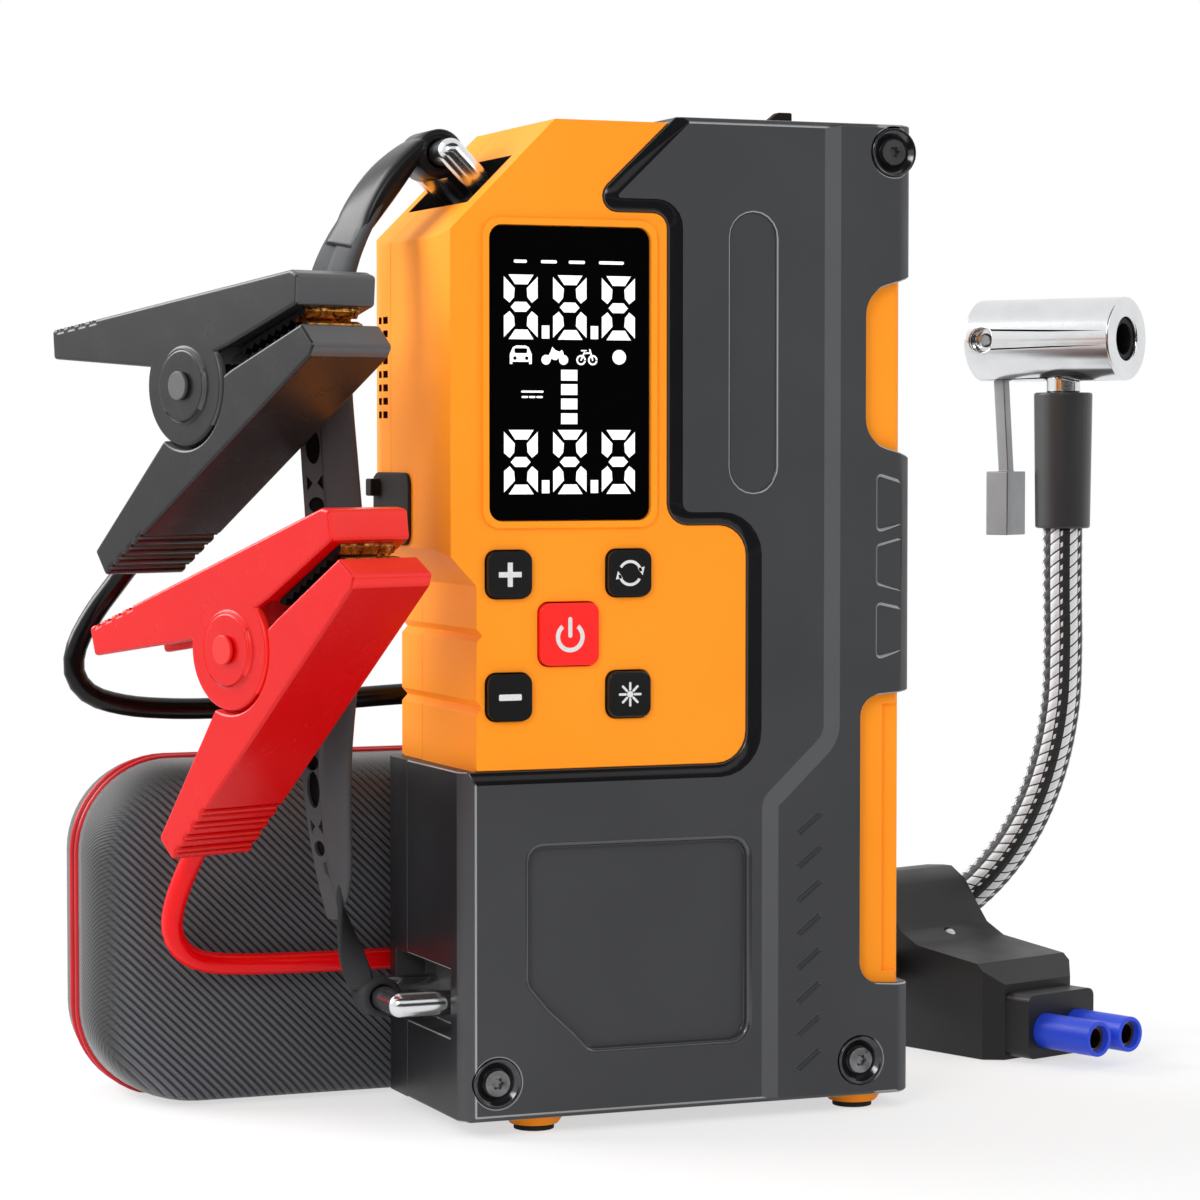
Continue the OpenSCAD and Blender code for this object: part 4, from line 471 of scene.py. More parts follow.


# ---------- guard ----------
# A dark grey ABS guard is screwed over each half, and wraps the right side and the base. Its flat faces are
# satin, the bevel along its inner edge is polished in the mould and painted near-black as shade, and one band
# steps down towards the right, painted slightly paler as light on its slope. Its left side is painted darker
# as shade, and its outer edges carry pale painted highlights.

# ABS as it left the mould: satin on the faces, and glossy on the left side, along the bevel and round the
# pressed panel. The band is painted paler as light on its slope, the left side, the bevel and the recesses'
# walls darker as shade, and the outer corners as pale lines of painted highlight
guard_abs = moulded("guard_abs", "#404143", "#353638", 0.5, grain_mm=0.4, grain_depth=0.008)
guard_left_side_shade = moulded("guard_side_gloss_painted_shade", "#1F1F21", "#18181A", 0.34, grain_mm=0.35, grain_depth=0.002)
guard_rim_highlight = moulded("guard_rim_painted_highlight", "#9A9B9D", "#8B8C8E", 0.2,
    grain_mm=1.5, grain_depth=0.002, shine=0.6)
guard_painted_shade = moulded("guard_bevel_and_wall_painted_shade", "#1A1A1C", "#101012", 0.16, grain_mm=1.5, grain_depth=0.002)
guard_band_painted_light = moulded("guard_band_painted_light", "#565759", "#4C4D4F", 0.5, grain_mm=0.4, grain_depth=0.008)
guard_panel = moulded("guard_panel_rim", "#37383A", "#303133", 0.2,
    grain_mm=1.5, grain_depth=0.002, shine=0.75)

# Only the outer corners carry the pale painted highlight: in the recesses, which lie 25.4 to 27.3 mm from the
# seam and left of the guard's right side, the rim is painted darker than the face, as shade
tree = guard_rim_highlight.node_tree
skin = next(node for node in tree.nodes if node.type == "BSDF_PRINCIPLED")
painted_highlight = skin.inputs["Base Color"].links[0].from_socket
where = add(tree, "TexCoord").outputs["Object"]
axes = add(tree, "SeparateXYZ", Vector=where)
from_seam = add(tree, "Math", {"operation": "SUBTRACT"}, i0=axes.outputs["Y"], i1=pack_y / 1000)
depth = add(tree, "Math", {"operation": "ABSOLUTE"}, i0=from_seam)
under_face = add(tree, "MapRange", Value=depth, i1=0.0274, i2=0.0272)
over_floor = add(tree, "MapRange", Value=depth, i1=0.0253, i2=0.0255)
left_of_side = add(tree, "MapRange", Value=axes.outputs["X"], i1=0.079, i2=0.078)
recess = add(tree, "Math", {"operation": "MULTIPLY"}, i0=under_face, i1=over_floor)
recess = add(tree, "Math", {"operation": "MULTIPLY"}, i0=recess, i1=left_of_side)
tone = add(tree, "Mix", {"data_type": "RGBA"}, i0=recess, i6=painted_highlight, i7=ink("#2C2D2F"))
tree.links.new(tone.outputs[2], skin.inputs["Base Color"])

# Corners of the guard's inner edge, from the top to the lower left
guard_edge = [(-2.2, 230), (-26.8, 206.5), (-6, 206.5), (-6, 136.2), (13.6, 136.2), (13.6, 81.7),
    (-67.5, 81.7)]


def off_edge(x, z):
    """Distance in mm of a point from the guard's inner edge, seen from the front."""
    best = 1e9
    for (ax, az), (bx, bz) in zip(guard_edge, guard_edge[1:]):
        span = Vector((bx - ax, bz - az))
        t = max(0.0, min(1.0, Vector((x - ax, z - az)).dot(span) / span.length_squared))
        best = min(best, math.hypot(x - ax - span.x * t, z - az - span.y * t))
    return best


for node in ("front_guard", "rear_guard"):
    guard = dress(node, guard_abs, guard_painted_shade, guard_band_painted_light, guard_rim_highlight, guard_left_side_shade, guard_panel)
    for polygon in guard.data.polygons:
        facing = abs(polygon.normal.y)
        x, y, z = unit_mm(polygon.center)
        # In turn: the inner edge's bevel, painted near-black as shade; the stepped band, painted paler as
        # light on its slope; the recesses' walls that face down or right, painted near-black as shade; and
        # the left side, painted darker as shade
        if 0.78 < facing < 0.92 and off_edge(x, z) < 4.5:
            polygon.material_index = 1
        elif 0.96 < facing < 0.997 and x > 8:
            polygon.material_index = 2
        elif facing < 0.3 and -27.6 < y < -25.5 and (polygon.normal.z < -0.3 or polygon.normal.x > 0.3):
            polygon.material_index = 1
        elif polygon.normal.x < -0.5 and x < -50 and polygon.normal.y > -0.3:
            polygon.material_index = 4
    panel_rim = guard.vertex_groups.new(name="panel_rim")
    for corner in guard.data.vertices:
        x, y, z = unit_mm(corner.co)
        if abs(y) > 27.4 and -41 < x < 14 and 18 < z < 65:
            panel_rim.add([corner.index], 1.0, "REPLACE")
    # The rounded edges take slot 3, the pale painted highlight
    eased(guard, 0.3, rim=3, clamped=node == "rear_guard")


# ---------- screws and cups ----------
# Six-lobe pan-head screws hold the guards through the halves, in turned cups plated with
# black nickel. The screws are black oxide on steel, an oily dark shine with fine lathe rings.

def black_oxide(name, colour, roughness):
    """Black oxide on turned steel: nearly black and metallic, with faint turning marks 0.45 mm
    apart and oily patches 2.5 mm across."""
    finish, tree = fresh(name)
    where = add(tree, "TexCoord").outputs["Object"]
    rings = add(tree, "TexNoise", Vector=where, Scale=1000 / 0.45, Detail=3.0)
    patches = add(tree, "TexNoise", Vector=where, Scale=1000 / 2.5, Detail=3.0)
    colours = add(tree, "Mix", {"data_type": "RGBA"}, i0=patches, i6=ink(colour), i7=ink("#2C2C2E"))
    dull = add(tree, "MapRange", Value=patches, i3=roughness * 0.8, i4=roughness * 1.3)
    relief = add(tree, "Bump", Strength=0.4, Distance=0.00002, Height=rings)
    skin = add(tree, "BsdfPrincipled", Base_Color=colours, Metallic=0.9, Roughness=dull, Normal=relief)
    add(tree, "OutputMaterial", Surface=skin)
    return finish


eased(dress("guard_screws", black_oxide("screw_black_oxide", "#9A9A9C", 0.24)), 0.1, clamped=True)
eased(dress("screw_cups", black_oxide("cup_black_nickel", "#626265", 0.14)), 0.25)


# ---------- feet ----------
# Four turned orange feet with thin black rubber pads pressed into them. The pads are matt and
# dusty, and the feet are the housing's own ABS.

eased(dress("feet", orange_abs), 0.2)
pad_rubber = moulded("pad_rubber", "#1F1F21", "#161617", 0.8, grain_mm=0.5, grain_depth=0.02)
eased(dress("foot_pads", pad_rubber), 0.2)


# ---------- display ----------
# A black acrylic lens sits in the raised orange bezel, over the lit module. The digits shine
# through it white and evenly, and are drawn as thin plates on its face: two rows of seven
# segments, a level bar of four, four plain pictures for what is pumped, and plain marks.

# Polished black acrylic, wiped to a faint unevenness about 14 mm across
lens_acrylic, tree = fresh("black_acrylic_lens")
where = add(tree, "TexCoord").outputs["Object"]
wipe = add(tree, "TexNoise", Vector=where, Scale=1000 / 14.3, Detail=5.0, Roughness=0.7)
dull = add(tree, "MapRange", Value=wipe, i3=0.05, i4=0.12)
tone = add(tree, "Mix", {"data_type": "RGBA"}, i0=wipe, i6=ink("#030303"), i7=ink("#060607"))
skin = add(tree, "BsdfPrincipled", Base_Color=tone, Roughness=dull, IOR=1.49, Specular_IOR_Level=0.04)
add(tree, "OutputMaterial", Surface=skin)
eased(dress("display_lens", lens_acrylic), 0.2)
eased(dress("display_module", moulded("module_black_pbt", "#26272A", "#1B1C1F", 0.55)), 0.15)

# Light through a diffuser: white and even, a trace bluer in spots 2 mm across
lit, tree = fresh("lit_segment")
where = add(tree, "TexCoord").outputs["Object"]
glow = add(tree, "TexNoise", Vector=where, Scale=1000 / 2, Detail=1.0)
tone = add(tree, "Mix", {"data_type": "RGBA"}, i0=glow, i6=ink("#FFFFFF"), i7=ink("#F1F4F6"))
skin = add(tree, "BsdfPrincipled", Base_Color=tone, Roughness=0.4, Emission_Color=tone,
    Emission_Strength=0.32, IOR=1.5)
add(tree, "OutputMaterial", Surface=skin)


def plates(name, outlines, y, thick, finish, body="root"):
    """Thin plates with the given [x, z] outlines, whose front faces lie at y."""
    parts = []
    for outline in outlines:
        turn = sum(a[0] * b[1] - b[0] * a[1] for a, b in zip(outline, outline[1:] + outline[:1]))
        ordered = outline if turn > 0 else outline[::-1]
        parts.append(loft([[spot(x, y + thick, z) for x, z in ordered], [spot(x, y, z) for x, z in ordered]]))
    return piece(name, merged(parts), finish, body, smooth=False)


def disc(x, z, r, high=None, steps=20):
    """Outline of a circle, or of an oval as high as given, each from the middle to the edge."""
    turns = [math.tau * k / steps for k in range(steps)]
    return [(x + r * math.cos(a), z + (high or r) * math.sin(a)) for a in turns]


def arc(x, z, r, w, start, end, steps=22):
    """Outline of a curved stroke of width w, between two angles in degrees."""
    turns = [math.radians(start + (end - start) * k / steps) for k in range(steps + 1)]
    outer = [(x + (r + w / 2) * math.cos(a), z + (r + w / 2) * math.sin(a)) for a in turns]
    inner = [(x + (r - w / 2) * math.cos(a), z + (r - w / 2) * math.sin(a)) for a in reversed(turns)]
    return outer + inner


def bar(x0, z0, x1, z1, w):
    """Outline of a straight stroke of width w with round ends."""
    a = math.atan2(z1 - z0, x1 - x0)
    ring = []
    for x, z, start in ((x1, z1, a - math.pi / 2), (x0, z0, a + math.pi / 2)):
        turns = [start + math.pi * k / 6 for k in range(7)]
        ring += [(x + w / 2 * math.cos(t), z + w / 2 * math.sin(t)) for t in turns]
    return ring


def block(x0, z0, x1, z1):
    """Outline of a sharp-cornered box."""
    return [(x0, z0), (x1, z0), (x1, z1), (x0, z1)]


def rounded_box(x0, z0, x1, z1, r, steps=4):
    """Outline of a box with round corners, from its lower right corner round to the left."""
    ring = []
    for x, z, start in (
            (x1 - r, z0 + r, -90), (x1 - r, z1 - r, 0), (x0 + r, z1 - r, 90), (x0 + r, z0 + r, 180)):
        turns = [math.radians(start + 90 * k / steps) for k in range(steps + 1)]
        ring += [(x + r * math.cos(t), z + r * math.sin(t)) for t in turns]
    return ring


# One digit, 1 wide and 1 high, all of whose segments are lit
upper_segment = [(0.14, 1.0), (0.88, 1.0), (0.70, 0.85), (0.33, 0.85)]
upper_side = [(0.0, 0.97), (0.0, 0.64), (0.17, 0.565), (0.30, 0.65), (0.32, 0.79)]
middle_segment = [(0.2, 0.5), (0.33, 0.578), (0.66, 0.578), (0.79, 0.5), (0.66, 0.425), (0.33, 0.425)]
digit = [upper_segment, upper_side, [(1 - u, v) for u, v in upper_side], middle_segment,
    [(u, 1 - v) for u, v in upper_side], [(1 - u, 1 - v) for u, v in upper_side],
    [(u, 1 - v) for u, v in upper_segment]]
digits = []
for low in (177.7, 143.3):
    for column, left in enumerate((-45.4, -33.7, -22.0)):
        digits += [[(left + 8 * u, low + 14.3 * v) for u, v in stroke] for stroke in digit]
        if column < 2:
            digits.append(block(left + 9.0, low + 0.2, left + 10.8, low + 3.1))
level = [block(-31.8, z - 1.2, -27.9, z + 1.2) for z in (169.8, 166.6, 163.4, 160.1)]
car = [(-44.0, 172.2), (-43.4, 172.2), (-43.4, 172.7), (-39.4, 172.7), (-39.4, 172.2), (-38.8, 172.2),
    (-38.8, 174.4), (-39.5, 175.9), (-40.3, 176.3), (-42.5, 176.3), (-43.3, 175.9), (-44.0, 174.4)]
car_gaps = [rounded_box(-42.9, 174.6, -39.9, 175.7, 0.35), disc(-42.8, 173.5, 0.4), disc(-40.0, 173.5, 0.4)]
motorbike = [(-35.2, 173.6), (-34.3, 175.0), (-33.9, 176.1), (-33.2, 175.4), (-32.2, 175.0), (-31.6, 175.4),
    (-31.3, 175.0), (-31.0, 173.6), (-32.0, 173.9), (-33.0, 173.1), (-34.2, 173.4)]
bicycle = [arc(-27.0, 173.2, 0.95, 0.4, 0, 350), arc(-24.2, 173.2, 0.95, 0.4, 0, 350),
    bar(-27.0, 173.2, -26.2, 174.9, 0.35), bar(-26.2, 174.7, -24.7, 174.8, 0.35),
    bar(-24.2, 173.2, -24.9, 175.5, 0.35), bar(-26.9, 175.3, -25.8, 175.3, 0.3)]
ball = disc(-17.8, 173.9, 1.65)
pictures = [car, motorbike, disc(-35.4, 173.2, 1.1), disc(-31.2, 173.2, 1.1)] + bicycle + [ball]
marks = [rounded_box(x - w / 2, 194.6, x + w / 2, 195.3, 0.3) for x, w in
    ((-41.5, 3.1), (-34.7, 3.8), (-28.0, 3.9), (-19.7, 6.0))]
marks.append(bar(-41.1, 166.1, -36.2, 166.1, 0.45))
marks += [bar(-41.0 + 1.75 * k, 164.9, -39.9 + 1.75 * k, 164.9, 0.45) for k in range(3)]
lens_face = -25.4
for name, outlines, y, thick, finish in (
        ("digits", digits, lens_face - 0.05, 0.05, lit),
        ("level", level, lens_face - 0.05, 0.05, lit),
        ("pictures", pictures, lens_face - 0.05, 0.05, lit),
        ("picture_gaps", car_gaps, lens_face - 0.08, 0.03, lens_acrylic),
        ("marks", marks, lens_face - 0.05, 0.05, lit)):
    plates("display_" + name, outlines, y, thick, finish)


# ---------- buttons ----------
# Four black keys and a red power key, moulded in ABS with deep round edges and polished, so
# that each catches one highlight at its upper left corner. The signs are printed on in pale
# grey ink, and each key presses a small switch on the board.

key_black = moulded("key_gloss_black", "#1F1F20", "#171718", 0.16, grain_mm=2.5, grain_depth=0.003)
key_red = moulded("key_gloss_red", "#FF2C28", "#F4201F", 0.2, grain_mm=2.5, grain_depth=0.003)
for node in ("plus_button", "minus_button", "mode_button", "lamp_button"):
    eased(dress(node, key_black), 0.6, segments=4, clamped=True)
eased(dress("power_button", key_red), 0.6, segments=4, clamped=True)

# Pad-printed ink: flat and slightly chalky, thinner in spots 0.77 mm across
pale_ink, tree = fresh("pale_grey_ink")
where = add(tree, "TexCoord").outputs["Object"]
thin = add(tree, "TexNoise", Vector=where, Scale=1000 / 0.77, Detail=3.0)
tone = add(tree, "Mix", {"data_type": "RGBA"}, i0=thin, i6=ink("#E6E6E6"), i7=ink("#C9C9CA"))
relief = add(tree, "Bump", Strength=0.4, Distance=0.00002, Height=thin)
skin = add(tree, "BsdfPrincipled", Base_Color=tone, Roughness=0.55, IOR=1.5, Normal=relief)
add(tree, "OutputMaterial", Surface=skin)
cross = [(u * a - v * b, u * b + v * a) for a, b in ((1, 0), (0, 1), (-1, 0), (0, -1))
    for u, v in ((0.6, -0.6), (2.7, -0.6), (2.7, 0.6))]
arrows = [arc(-15.7, 125.5, 2.6, 0.65, 8, 150), arc(-15.7, 125.5, 2.6, 0.65, 188, 330),
    [(-13.9, 126.6), (-12.2, 126.9), (-12.7, 125.0)], [(-17.5, 124.4), (-19.2, 124.1), (-18.7, 126.0)]]
rays = []
for a in (math.radians(45 * k) for k in range(8)):
    rays.append(bar(-15.7 + 1.1 * math.cos(a), 98.2 + 1.1 * math.sin(a),
        -15.7 + 2.5 * math.cos(a), 98.2 + 2.5 * math.sin(a), 0.55))
ring_and_bar = [arc(-30.2, 111.4, 2.95, 1.0, 128, 412, 30), bar(-30.2, 111.7, -30.2, 115.4, 0.95)]
key_face = -26.9
for key, outlines, slot in (
        ("plus", [[(-44.5 + u, 125.5 + v) for u, v in cross]], "gloss_black"),
        ("minus", [rounded_box(-47.2, 97.5, -41.8, 98.9, 0.3)], "gloss_black"),
        ("mode", arrows, "gloss_black"),
        ("lamp", rays + [disc(-15.7, 98.2, 0.75)], "gloss_black"),
        ("power", ring_and_bar, "button_red")):
    plates(key + "_sign", outlines, key_face - 0.03, 0.04, pale_ink, key + "_button")
dress("tact_switches", moulded("switch_black_pbt", "#2A2B2D", "#1D1E20", 0.5))


# ---------- board, cells and pump ----------
# Inside, a green glass-epoxy board carries the display and the switches. Four lithium cells
# in shrink sleeve stand in a grey cradle under it, and a motor with a brass pinion drives
# the crank gear and the pump's piston in an aluminium cylinder.

# Green solder mask, glossy over a glass weave. Tracks of 0.3 mm are drawn as bricks 1 mm high,
# a quarter of their pattern, so that they show
board_epoxy, tree = fresh("board_green_solder_mask")
where = add(tree, "TexCoord").outputs["Object"]
tracks = add(tree, "TexBrick", {"offset": 0.35}, Vector=where, Scale=1000 / 4,
    Color1=ink("#1E6B3C"), Color2=ink("#17582F"), Mortar=ink("#2F8C55"), Mortar_Size=0.03)
weave = add(tree, "TexNoise", Vector=where, Scale=1000 / 1.1, Detail=2.0)
relief = add(tree, "Bump", Strength=0.5, Distance=0.00003, Height=tracks.outputs["Fac"])
dull = add(tree, "MapRange", Value=weave, i3=0.3, i4=0.45)
skin = add(tree, "BsdfPrincipled", Base_Color=tracks.outputs["Color"], Roughness=dull, Normal=relief)
add(tree, "OutputMaterial", Surface=skin)
dress("main_board", board_epoxy)
dress("battery_cells", extruded_pvc("cell_shrink_sleeve", "#2E63B8", "#244F98", 0.32))
dress("battery_cradle", moulded("cradle_grey_abs", "#6C6E70", "#5D5F61", 0.55))


def metal(name, colour, deep, roughness, mark_mm=0.83, depth=0.00003):
    """Bare metal: coloured reflections, fine marks from how it was worked, and stains 6.7 mm across."""
    finish, tree = fresh(name)
    where = add(tree, "TexCoord").outputs["Object"]
    lines = add(tree, "TexNoise", Vector=where, Scale=1000 / mark_mm, Detail=4.0, Roughness=0.6)
    stain = add(tree, "TexNoise", Vector=where, Scale=1000 / 6.7, Detail=3.0)
    colours = add(tree, "Mix", {"data_type": "RGBA"}, i0=stain, i6=ink(colour), i7=ink(deep))
    dull = add(tree, "MapRange", Value=stain, i3=max(0.02, roughness - 0.05), i4=roughness + 0.07)
    relief = add(tree, "Bump", Strength=0.4, Distance=depth, Height=lines)
    skin = add(tree, "BsdfPrincipled", Base_Color=colours, Metallic=1.0, Roughness=dull, Normal=relief)
    add(tree, "OutputMaterial", Surface=skin)
    return finish


brass = metal("turned_brass", "#D8B25C", "#B98F3D", 0.22)
acetal = moulded("white_acetal", "#E9E7E0", "#DAD7CD", 0.35, grain_mm=0.8)
for node, finish in (
        ("pump_frame", metal("galvanised_sheet_steel", "#B9BCC0", "#9DA1A6", 0.38, 2.0)),
        ("pump_motor", metal("motor_can_steel", "#A9ACB0", "#8E9297", 0.28)),
        ("motor_pinion", brass), ("air_outlet", brass),
        ("pump_cylinder", metal("sand_cast_aluminium", "#B4B6B8", "#96989B", 0.5, 1.4, depth=0.0001)),
        ("crank_gear", acetal), ("pump_piston", acetal)):
    dress(node, finish)


# ---------- sockets and their covers ----------
# The jump socket on the left side and the two charging sockets on top are shut by covers
# moulded in soft black rubber, which hang on thin webs of their own. Rubber is matt, and
# shows its fine grain.

cover_rubber = moulded("cover_rubber", "#2A211D", "#1E1815", 0.6, grain_mm=0.3, grain_depth=0.012, shine=0.08)
for node in ("port_cover", "top_cover"):
    eased(dress(node, cover_rubber), 0.4)
blue_nylon = moulded("blue_nylon", "#2A4EE0", "#2040C8", 0.4, grain_mm=0.3, grain_depth=0.006)
eased(dress("jump_socket", blue_nylon), 0.2)
dress("usb_sockets", metal("stamped_socket_steel", "#C2C4C7", "#A5A8AC", 0.25))


# ---------- work lamp ----------
# A frosted polycarbonate window lies flush in the top of the housing over a row of white
# lamps. It is milky, with a faint linen pattern moulded into it.

# Frosted polycarbonate: milky, with linen cells 1.1 mm across
frosted, tree = fresh("frosted_polycarbonate")
where = add(tree, "TexCoord").outputs["Object"]
linen = add(tree, "TexVoronoi", Vector=where, Scale=1000 / 1.1)
relief = add(tree, "Bump", Strength=0.6, Distance=0.00006, Height=linen)
milk = add(tree, "MapRange", Value=linen, i3=0.28, i4=0.45)
tone = add(tree, "Mix", {"data_type": "RGBA"}, i0=linen, i6=ink("#F6F7F5"), i7=ink("#E2E5E4"))
skin = add(tree, "BsdfPrincipled", Base_Color=tone, Roughness=milk, IOR=1.58,
    Transmission_Weight=0.15, Normal=relief)
add(tree, "OutputMaterial", Surface=skin)
eased(dress("lamp_lens", frosted), 0.15)
eased(dress("box_led", frosted), 0.1)


# ---------- chromed bars ----------
# Two bent steel staples, polished and chromed, hold the carry strap: one across the cut-off
# corner at the top, one in a pocket low on the left. Chrome mirrors the room, with soft dark
# bands and a few hairline rubs.

chrome = metal("polished_chrome", "#E6E7E8", "#D2D4D6", 0.17, 0.67, depth=0.000008)
for node in ("upper_bar", "lower_bar"):
    eased(dress(node, chrome), 0.1)


# ---------- carry strap ----------
# A moulded black rubber strap: a smooth rounded pad along one side and a thinner web with oval,
# round and crossed recesses along the other. A thick glossy end closes round the upper bar,
# and a twisted webbing tail joins the pad's rounded foot to the lower one.

strap_rubber = moulded("strap_rubber", "#47484A", "#3A3B3D", 0.62, grain_mm=0.45, grain_depth=0.012)
strap_y = 2.0
# Middle line from the upper bar down to the lower one, with the strap's roll in degrees
strap_stations = [((-56.3, 222.5), 0), ((-64, 214), -12), ((-71, 204), -26), ((-76, 193), -40),
    ((-78, 180), -52), ((-78, 165), -60), ((-77, 150), -65), ((-76, 135), -65), ((-76, 119), -62),
    ((-77, 102), -58), ((-78, 85), -48), ((-77.5, 70), -34), ((-76, 56), -20), ((-73.5, 43), -8),
    ((-69.7, 30.6), 0)]
strap_line = smooth_line([spot(x, strap_y, z) for (x, z), roll in strap_stations], 0.001)
strap_rolls = smooth_line(
    [Vector((roll, i * 10.0, 0)) for i, (place, roll) in enumerate(strap_stations)], 0.5)
strap_mm = len(strap_line) - 1


def strap_frame(s):
    """Point, crosswise and thickness directions of the strap at a share of its length."""
    s = min(max(s, 0.0), 1.0)
    place = s * strap_mm
    i = min(int(place), strap_mm - 1)
    at = strap_line[i].lerp(strap_line[i + 1], place - i)
    way = (strap_line[min(i + 2, strap_mm)] - strap_line[max(i - 1, 0)]).normalized()
    roll = math.radians(strap_rolls[round(s * (len(strap_rolls) - 1))].x)
    flat = way.cross(Vector((0, 1, 0))).normalized()
    across = Vector((0, 1, 0)) * math.cos(roll) + flat * math.sin(roll)
    return at, across, way.cross(across).normalized()


# The web lies flat first, in mm along and across the strap: one oval, two triangles and a round
# hole in each repeat
web_mm = 0.92 * strap_mm
web_low, lane, web_high = 0.6, 3.7, 6.5
first_repeat, repeat, last_gap = 55.0, 19.5, 14
holes = []
row = first_repeat
while row < web_mm - last_gap:
    holes.append(disc(row, lane, 4.2, 1.75))
    for side in (-1, 1):
        holes.append([(row + 6.6, lane + side * 1.85), (row + 10.2, lane + side * 1.85),
            (row + 8.4, lane + side * 0.5)])
    holes.append(disc(row + 13.4, lane, 1.8, 1.75, 18))
    row += repeat


def inside(outline, x, y):
    """Whether a point lies within a closed outline."""
    odd = False
    for (ax, ay), (bx, by) in zip(outline, outline[1:] + outline[:1]):
        if (ay > y) != (by > y) and x < ax + (bx - ax) * (y - ay) / (by - ay):
            odd = not odd
    return odd


# Points along both edges and on four lines between them let the web bend evenly
web_step = 1.2
columns = int(web_mm / web_step)
outline = [(web_step * k, web_low) for k in range(columns + 1)]
outline += [(x, web_high) for x, y in reversed(outline)]
points = [Vector(p) for p in outline]
edges = [(k, (k + 1) % len(outline)) for k in range(len(outline))]
for hole in holes:
    start = len(points)
    points += [Vector(p) for p in hole]
    edges += [(start + k, start + (k + 1) % len(hole)) for k in range(len(hole))]
for k in range(1, columns):
    for y in (5.9, 5.0, 2.4, 1.4):
        if not any(inside(hole, web_step * k, y) for hole in holes):
            points.append(Vector((web_step * k, y)))
flat_points, _, flat_faces = delaunay_2d_cdt(points, edges, [], 0, 0.0001)[:3]
web_faces = []
for face in flat_faces:
    middle = sum((flat_points[i] for i in face), Vector((0, 0))) / len(face)
    if not any(abs(middle.x - hole[0][0]) < 12 and inside(hole, middle.x, middle.y) for hole in holes):
        web_faces.append(tuple(face))
web_verts = []
for p in flat_points:
    at, across, thick = strap_frame(p.x / strap_mm)
    web_verts.append(at + (across * p.y + thick * 0.2) / 1000)
strap_web = piece("strap_web", (web_verts, web_faces), strap_rubber, smooth=False)
solid = strap_web.modifiers.new("thickness", "SOLIDIFY")
solid.thickness = 0.0013
solid.offset = 0.0
soften = strap_web.modifiers.new("soften", "BEVEL")
soften.width = 0.00025
soften.segments = 2
soften.angle_limit = math.radians(50)

# A thin floor closes the web's holes from behind, painted near-black as the shade in them
backing_steps = 140
backing_rings = []
for k in range(backing_steps + 1):
    at, across, thick = strap_frame(0.905 * k / backing_steps)
    backing_rings.append([at + (across * a + thick * t) / 1000
        for a, t in ((0.9, 0.45), (0.9, 0.8), (6.2, 0.8), (6.2, 0.45))])
strap_recess = moulded("strap_recess_painted_shade", "#0C0C0D", "#070708", 0.7, shine=0.1)
piece("strap_web_floor", loft(backing_rings), strap_recess, smooth=False)

# The pad's section, across and through the strap, closes round its foot over the last few rings
pad_section = [(1.6, -0.7), (1.2, -1.0), (-0.4, -1.25), (-3.6, -1.3), (-5.6, -1.1), (-6.35, -0.6),
    (-6.5, 0.0), (-6.35, 0.6), (-5.6, 1.1), (-3.6, 1.3), (-0.4, 1.25), (1.2, 1.0), (1.6, 0.7)]
pad_steps = 160
foot_start, foot_steps = 148, 12.5      # The last ring lies just before the foot would close
pad_rings = []
for k in range(pad_steps + 1):
    at, across, thick = strap_frame(0.9 * k / pad_steps)
    close = math.sqrt(1 - max(0.0, (k - foot_start) / foot_steps) ** 2)
    pad_rings.append([at + (across * (a * close) + thick * (t * close)) / 1000 for a, t in pad_section])
strap_pad = piece("strap_pad", loft(pad_rings), strap_rubber)
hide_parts("carry_strap")

# The upper end swells out of the web, glossier than the rest
end_rubber = moulded("strap_end_rubber", "#18181A", "#101012", 0.3,
    grain_mm=0.6, grain_depth=0.004, shine=0.22)
end_rings = []
for k in range(25):
    at, across, thick = strap_frame(0.15 * k / 24)
    t = k / 24
    half = 6.9 - 1.2 * t * t
    swell = 1.35 + 1.5 * math.sin(math.pi * min(1.0, t * 1.25)) ** 0.7
    ring = []
    for a in (math.tau * j / 28 for j in range(28)):
        wide = half * math.copysign(abs(math.cos(a)) ** 0.45, math.cos(a))
        high = swell * math.copysign(abs(math.sin(a)) ** 0.6, math.sin(a))
        ring.append(at + (across * wide + thick * high) / 1000)
    end_rings.append(ring)
piece("strap_end_upper", loft(end_rings), end_rubber)

# The tail is flat woven webbing, matt and coarse, which turns by 150 degrees on its way
webbing = moulded("tail_webbing", "#2C2D2F", "#1C1D1F", 0.7, grain_mm=0.8, grain_depth=0.05)
tail_section = ((-1, -0.5), (-0.9, -1), (0.9, -1), (1, -0.5), (1, 0.5), (0.9, 1), (-0.9, 1), (-1, 0.5))
tail_rings = []
for k in range(49):
    at, across, thick = strap_frame(0.85 + 0.15 * k / 48)
    turn = math.radians(150) * (k / 48) ** 1.5
    wide = across * math.cos(turn) + thick * math.sin(turn)
    high = thick * math.cos(turn) - across * math.sin(turn)
    half = 3.4 - 0.5 * math.sin(math.pi * k / 48)
    tail_rings.append([at + (wide * (u * half) + high * (v * 0.65)) / 1000 for u, v in tail_section])
piece("strap_tail", loft(tail_rings), webbing)


def eye(x, z, inner, outer, half_width):
    """Round eye about a bar that lies along y, with softly rounded rims."""
    near, far = strap_y - half_width, strap_y + half_width
    half_section = [(inner, 0.4), (inner + 0.3, 0), (outer - 0.5, 0), (outer, 0.5)]
    section = [(r, near + edge) for r, edge in half_section]
    section += [(r, far - edge) for r, edge in reversed(half_section)]
    turns = [math.tau * k / 40 for k in range(41)]
    rings = [[spot(x + r * math.cos(a), y, z + r * math.sin(a)) for r, y in section] for a in turns]
    return loft(rings, capped=False)


piece("strap_eye_upper", eye(-52.7, 219.9, 3.2, 5.6, 6.5), end_rubber)
piece("strap_eye_lower", eye(-66.3, 29, 2.95, 4.6, 4.5), webbing)
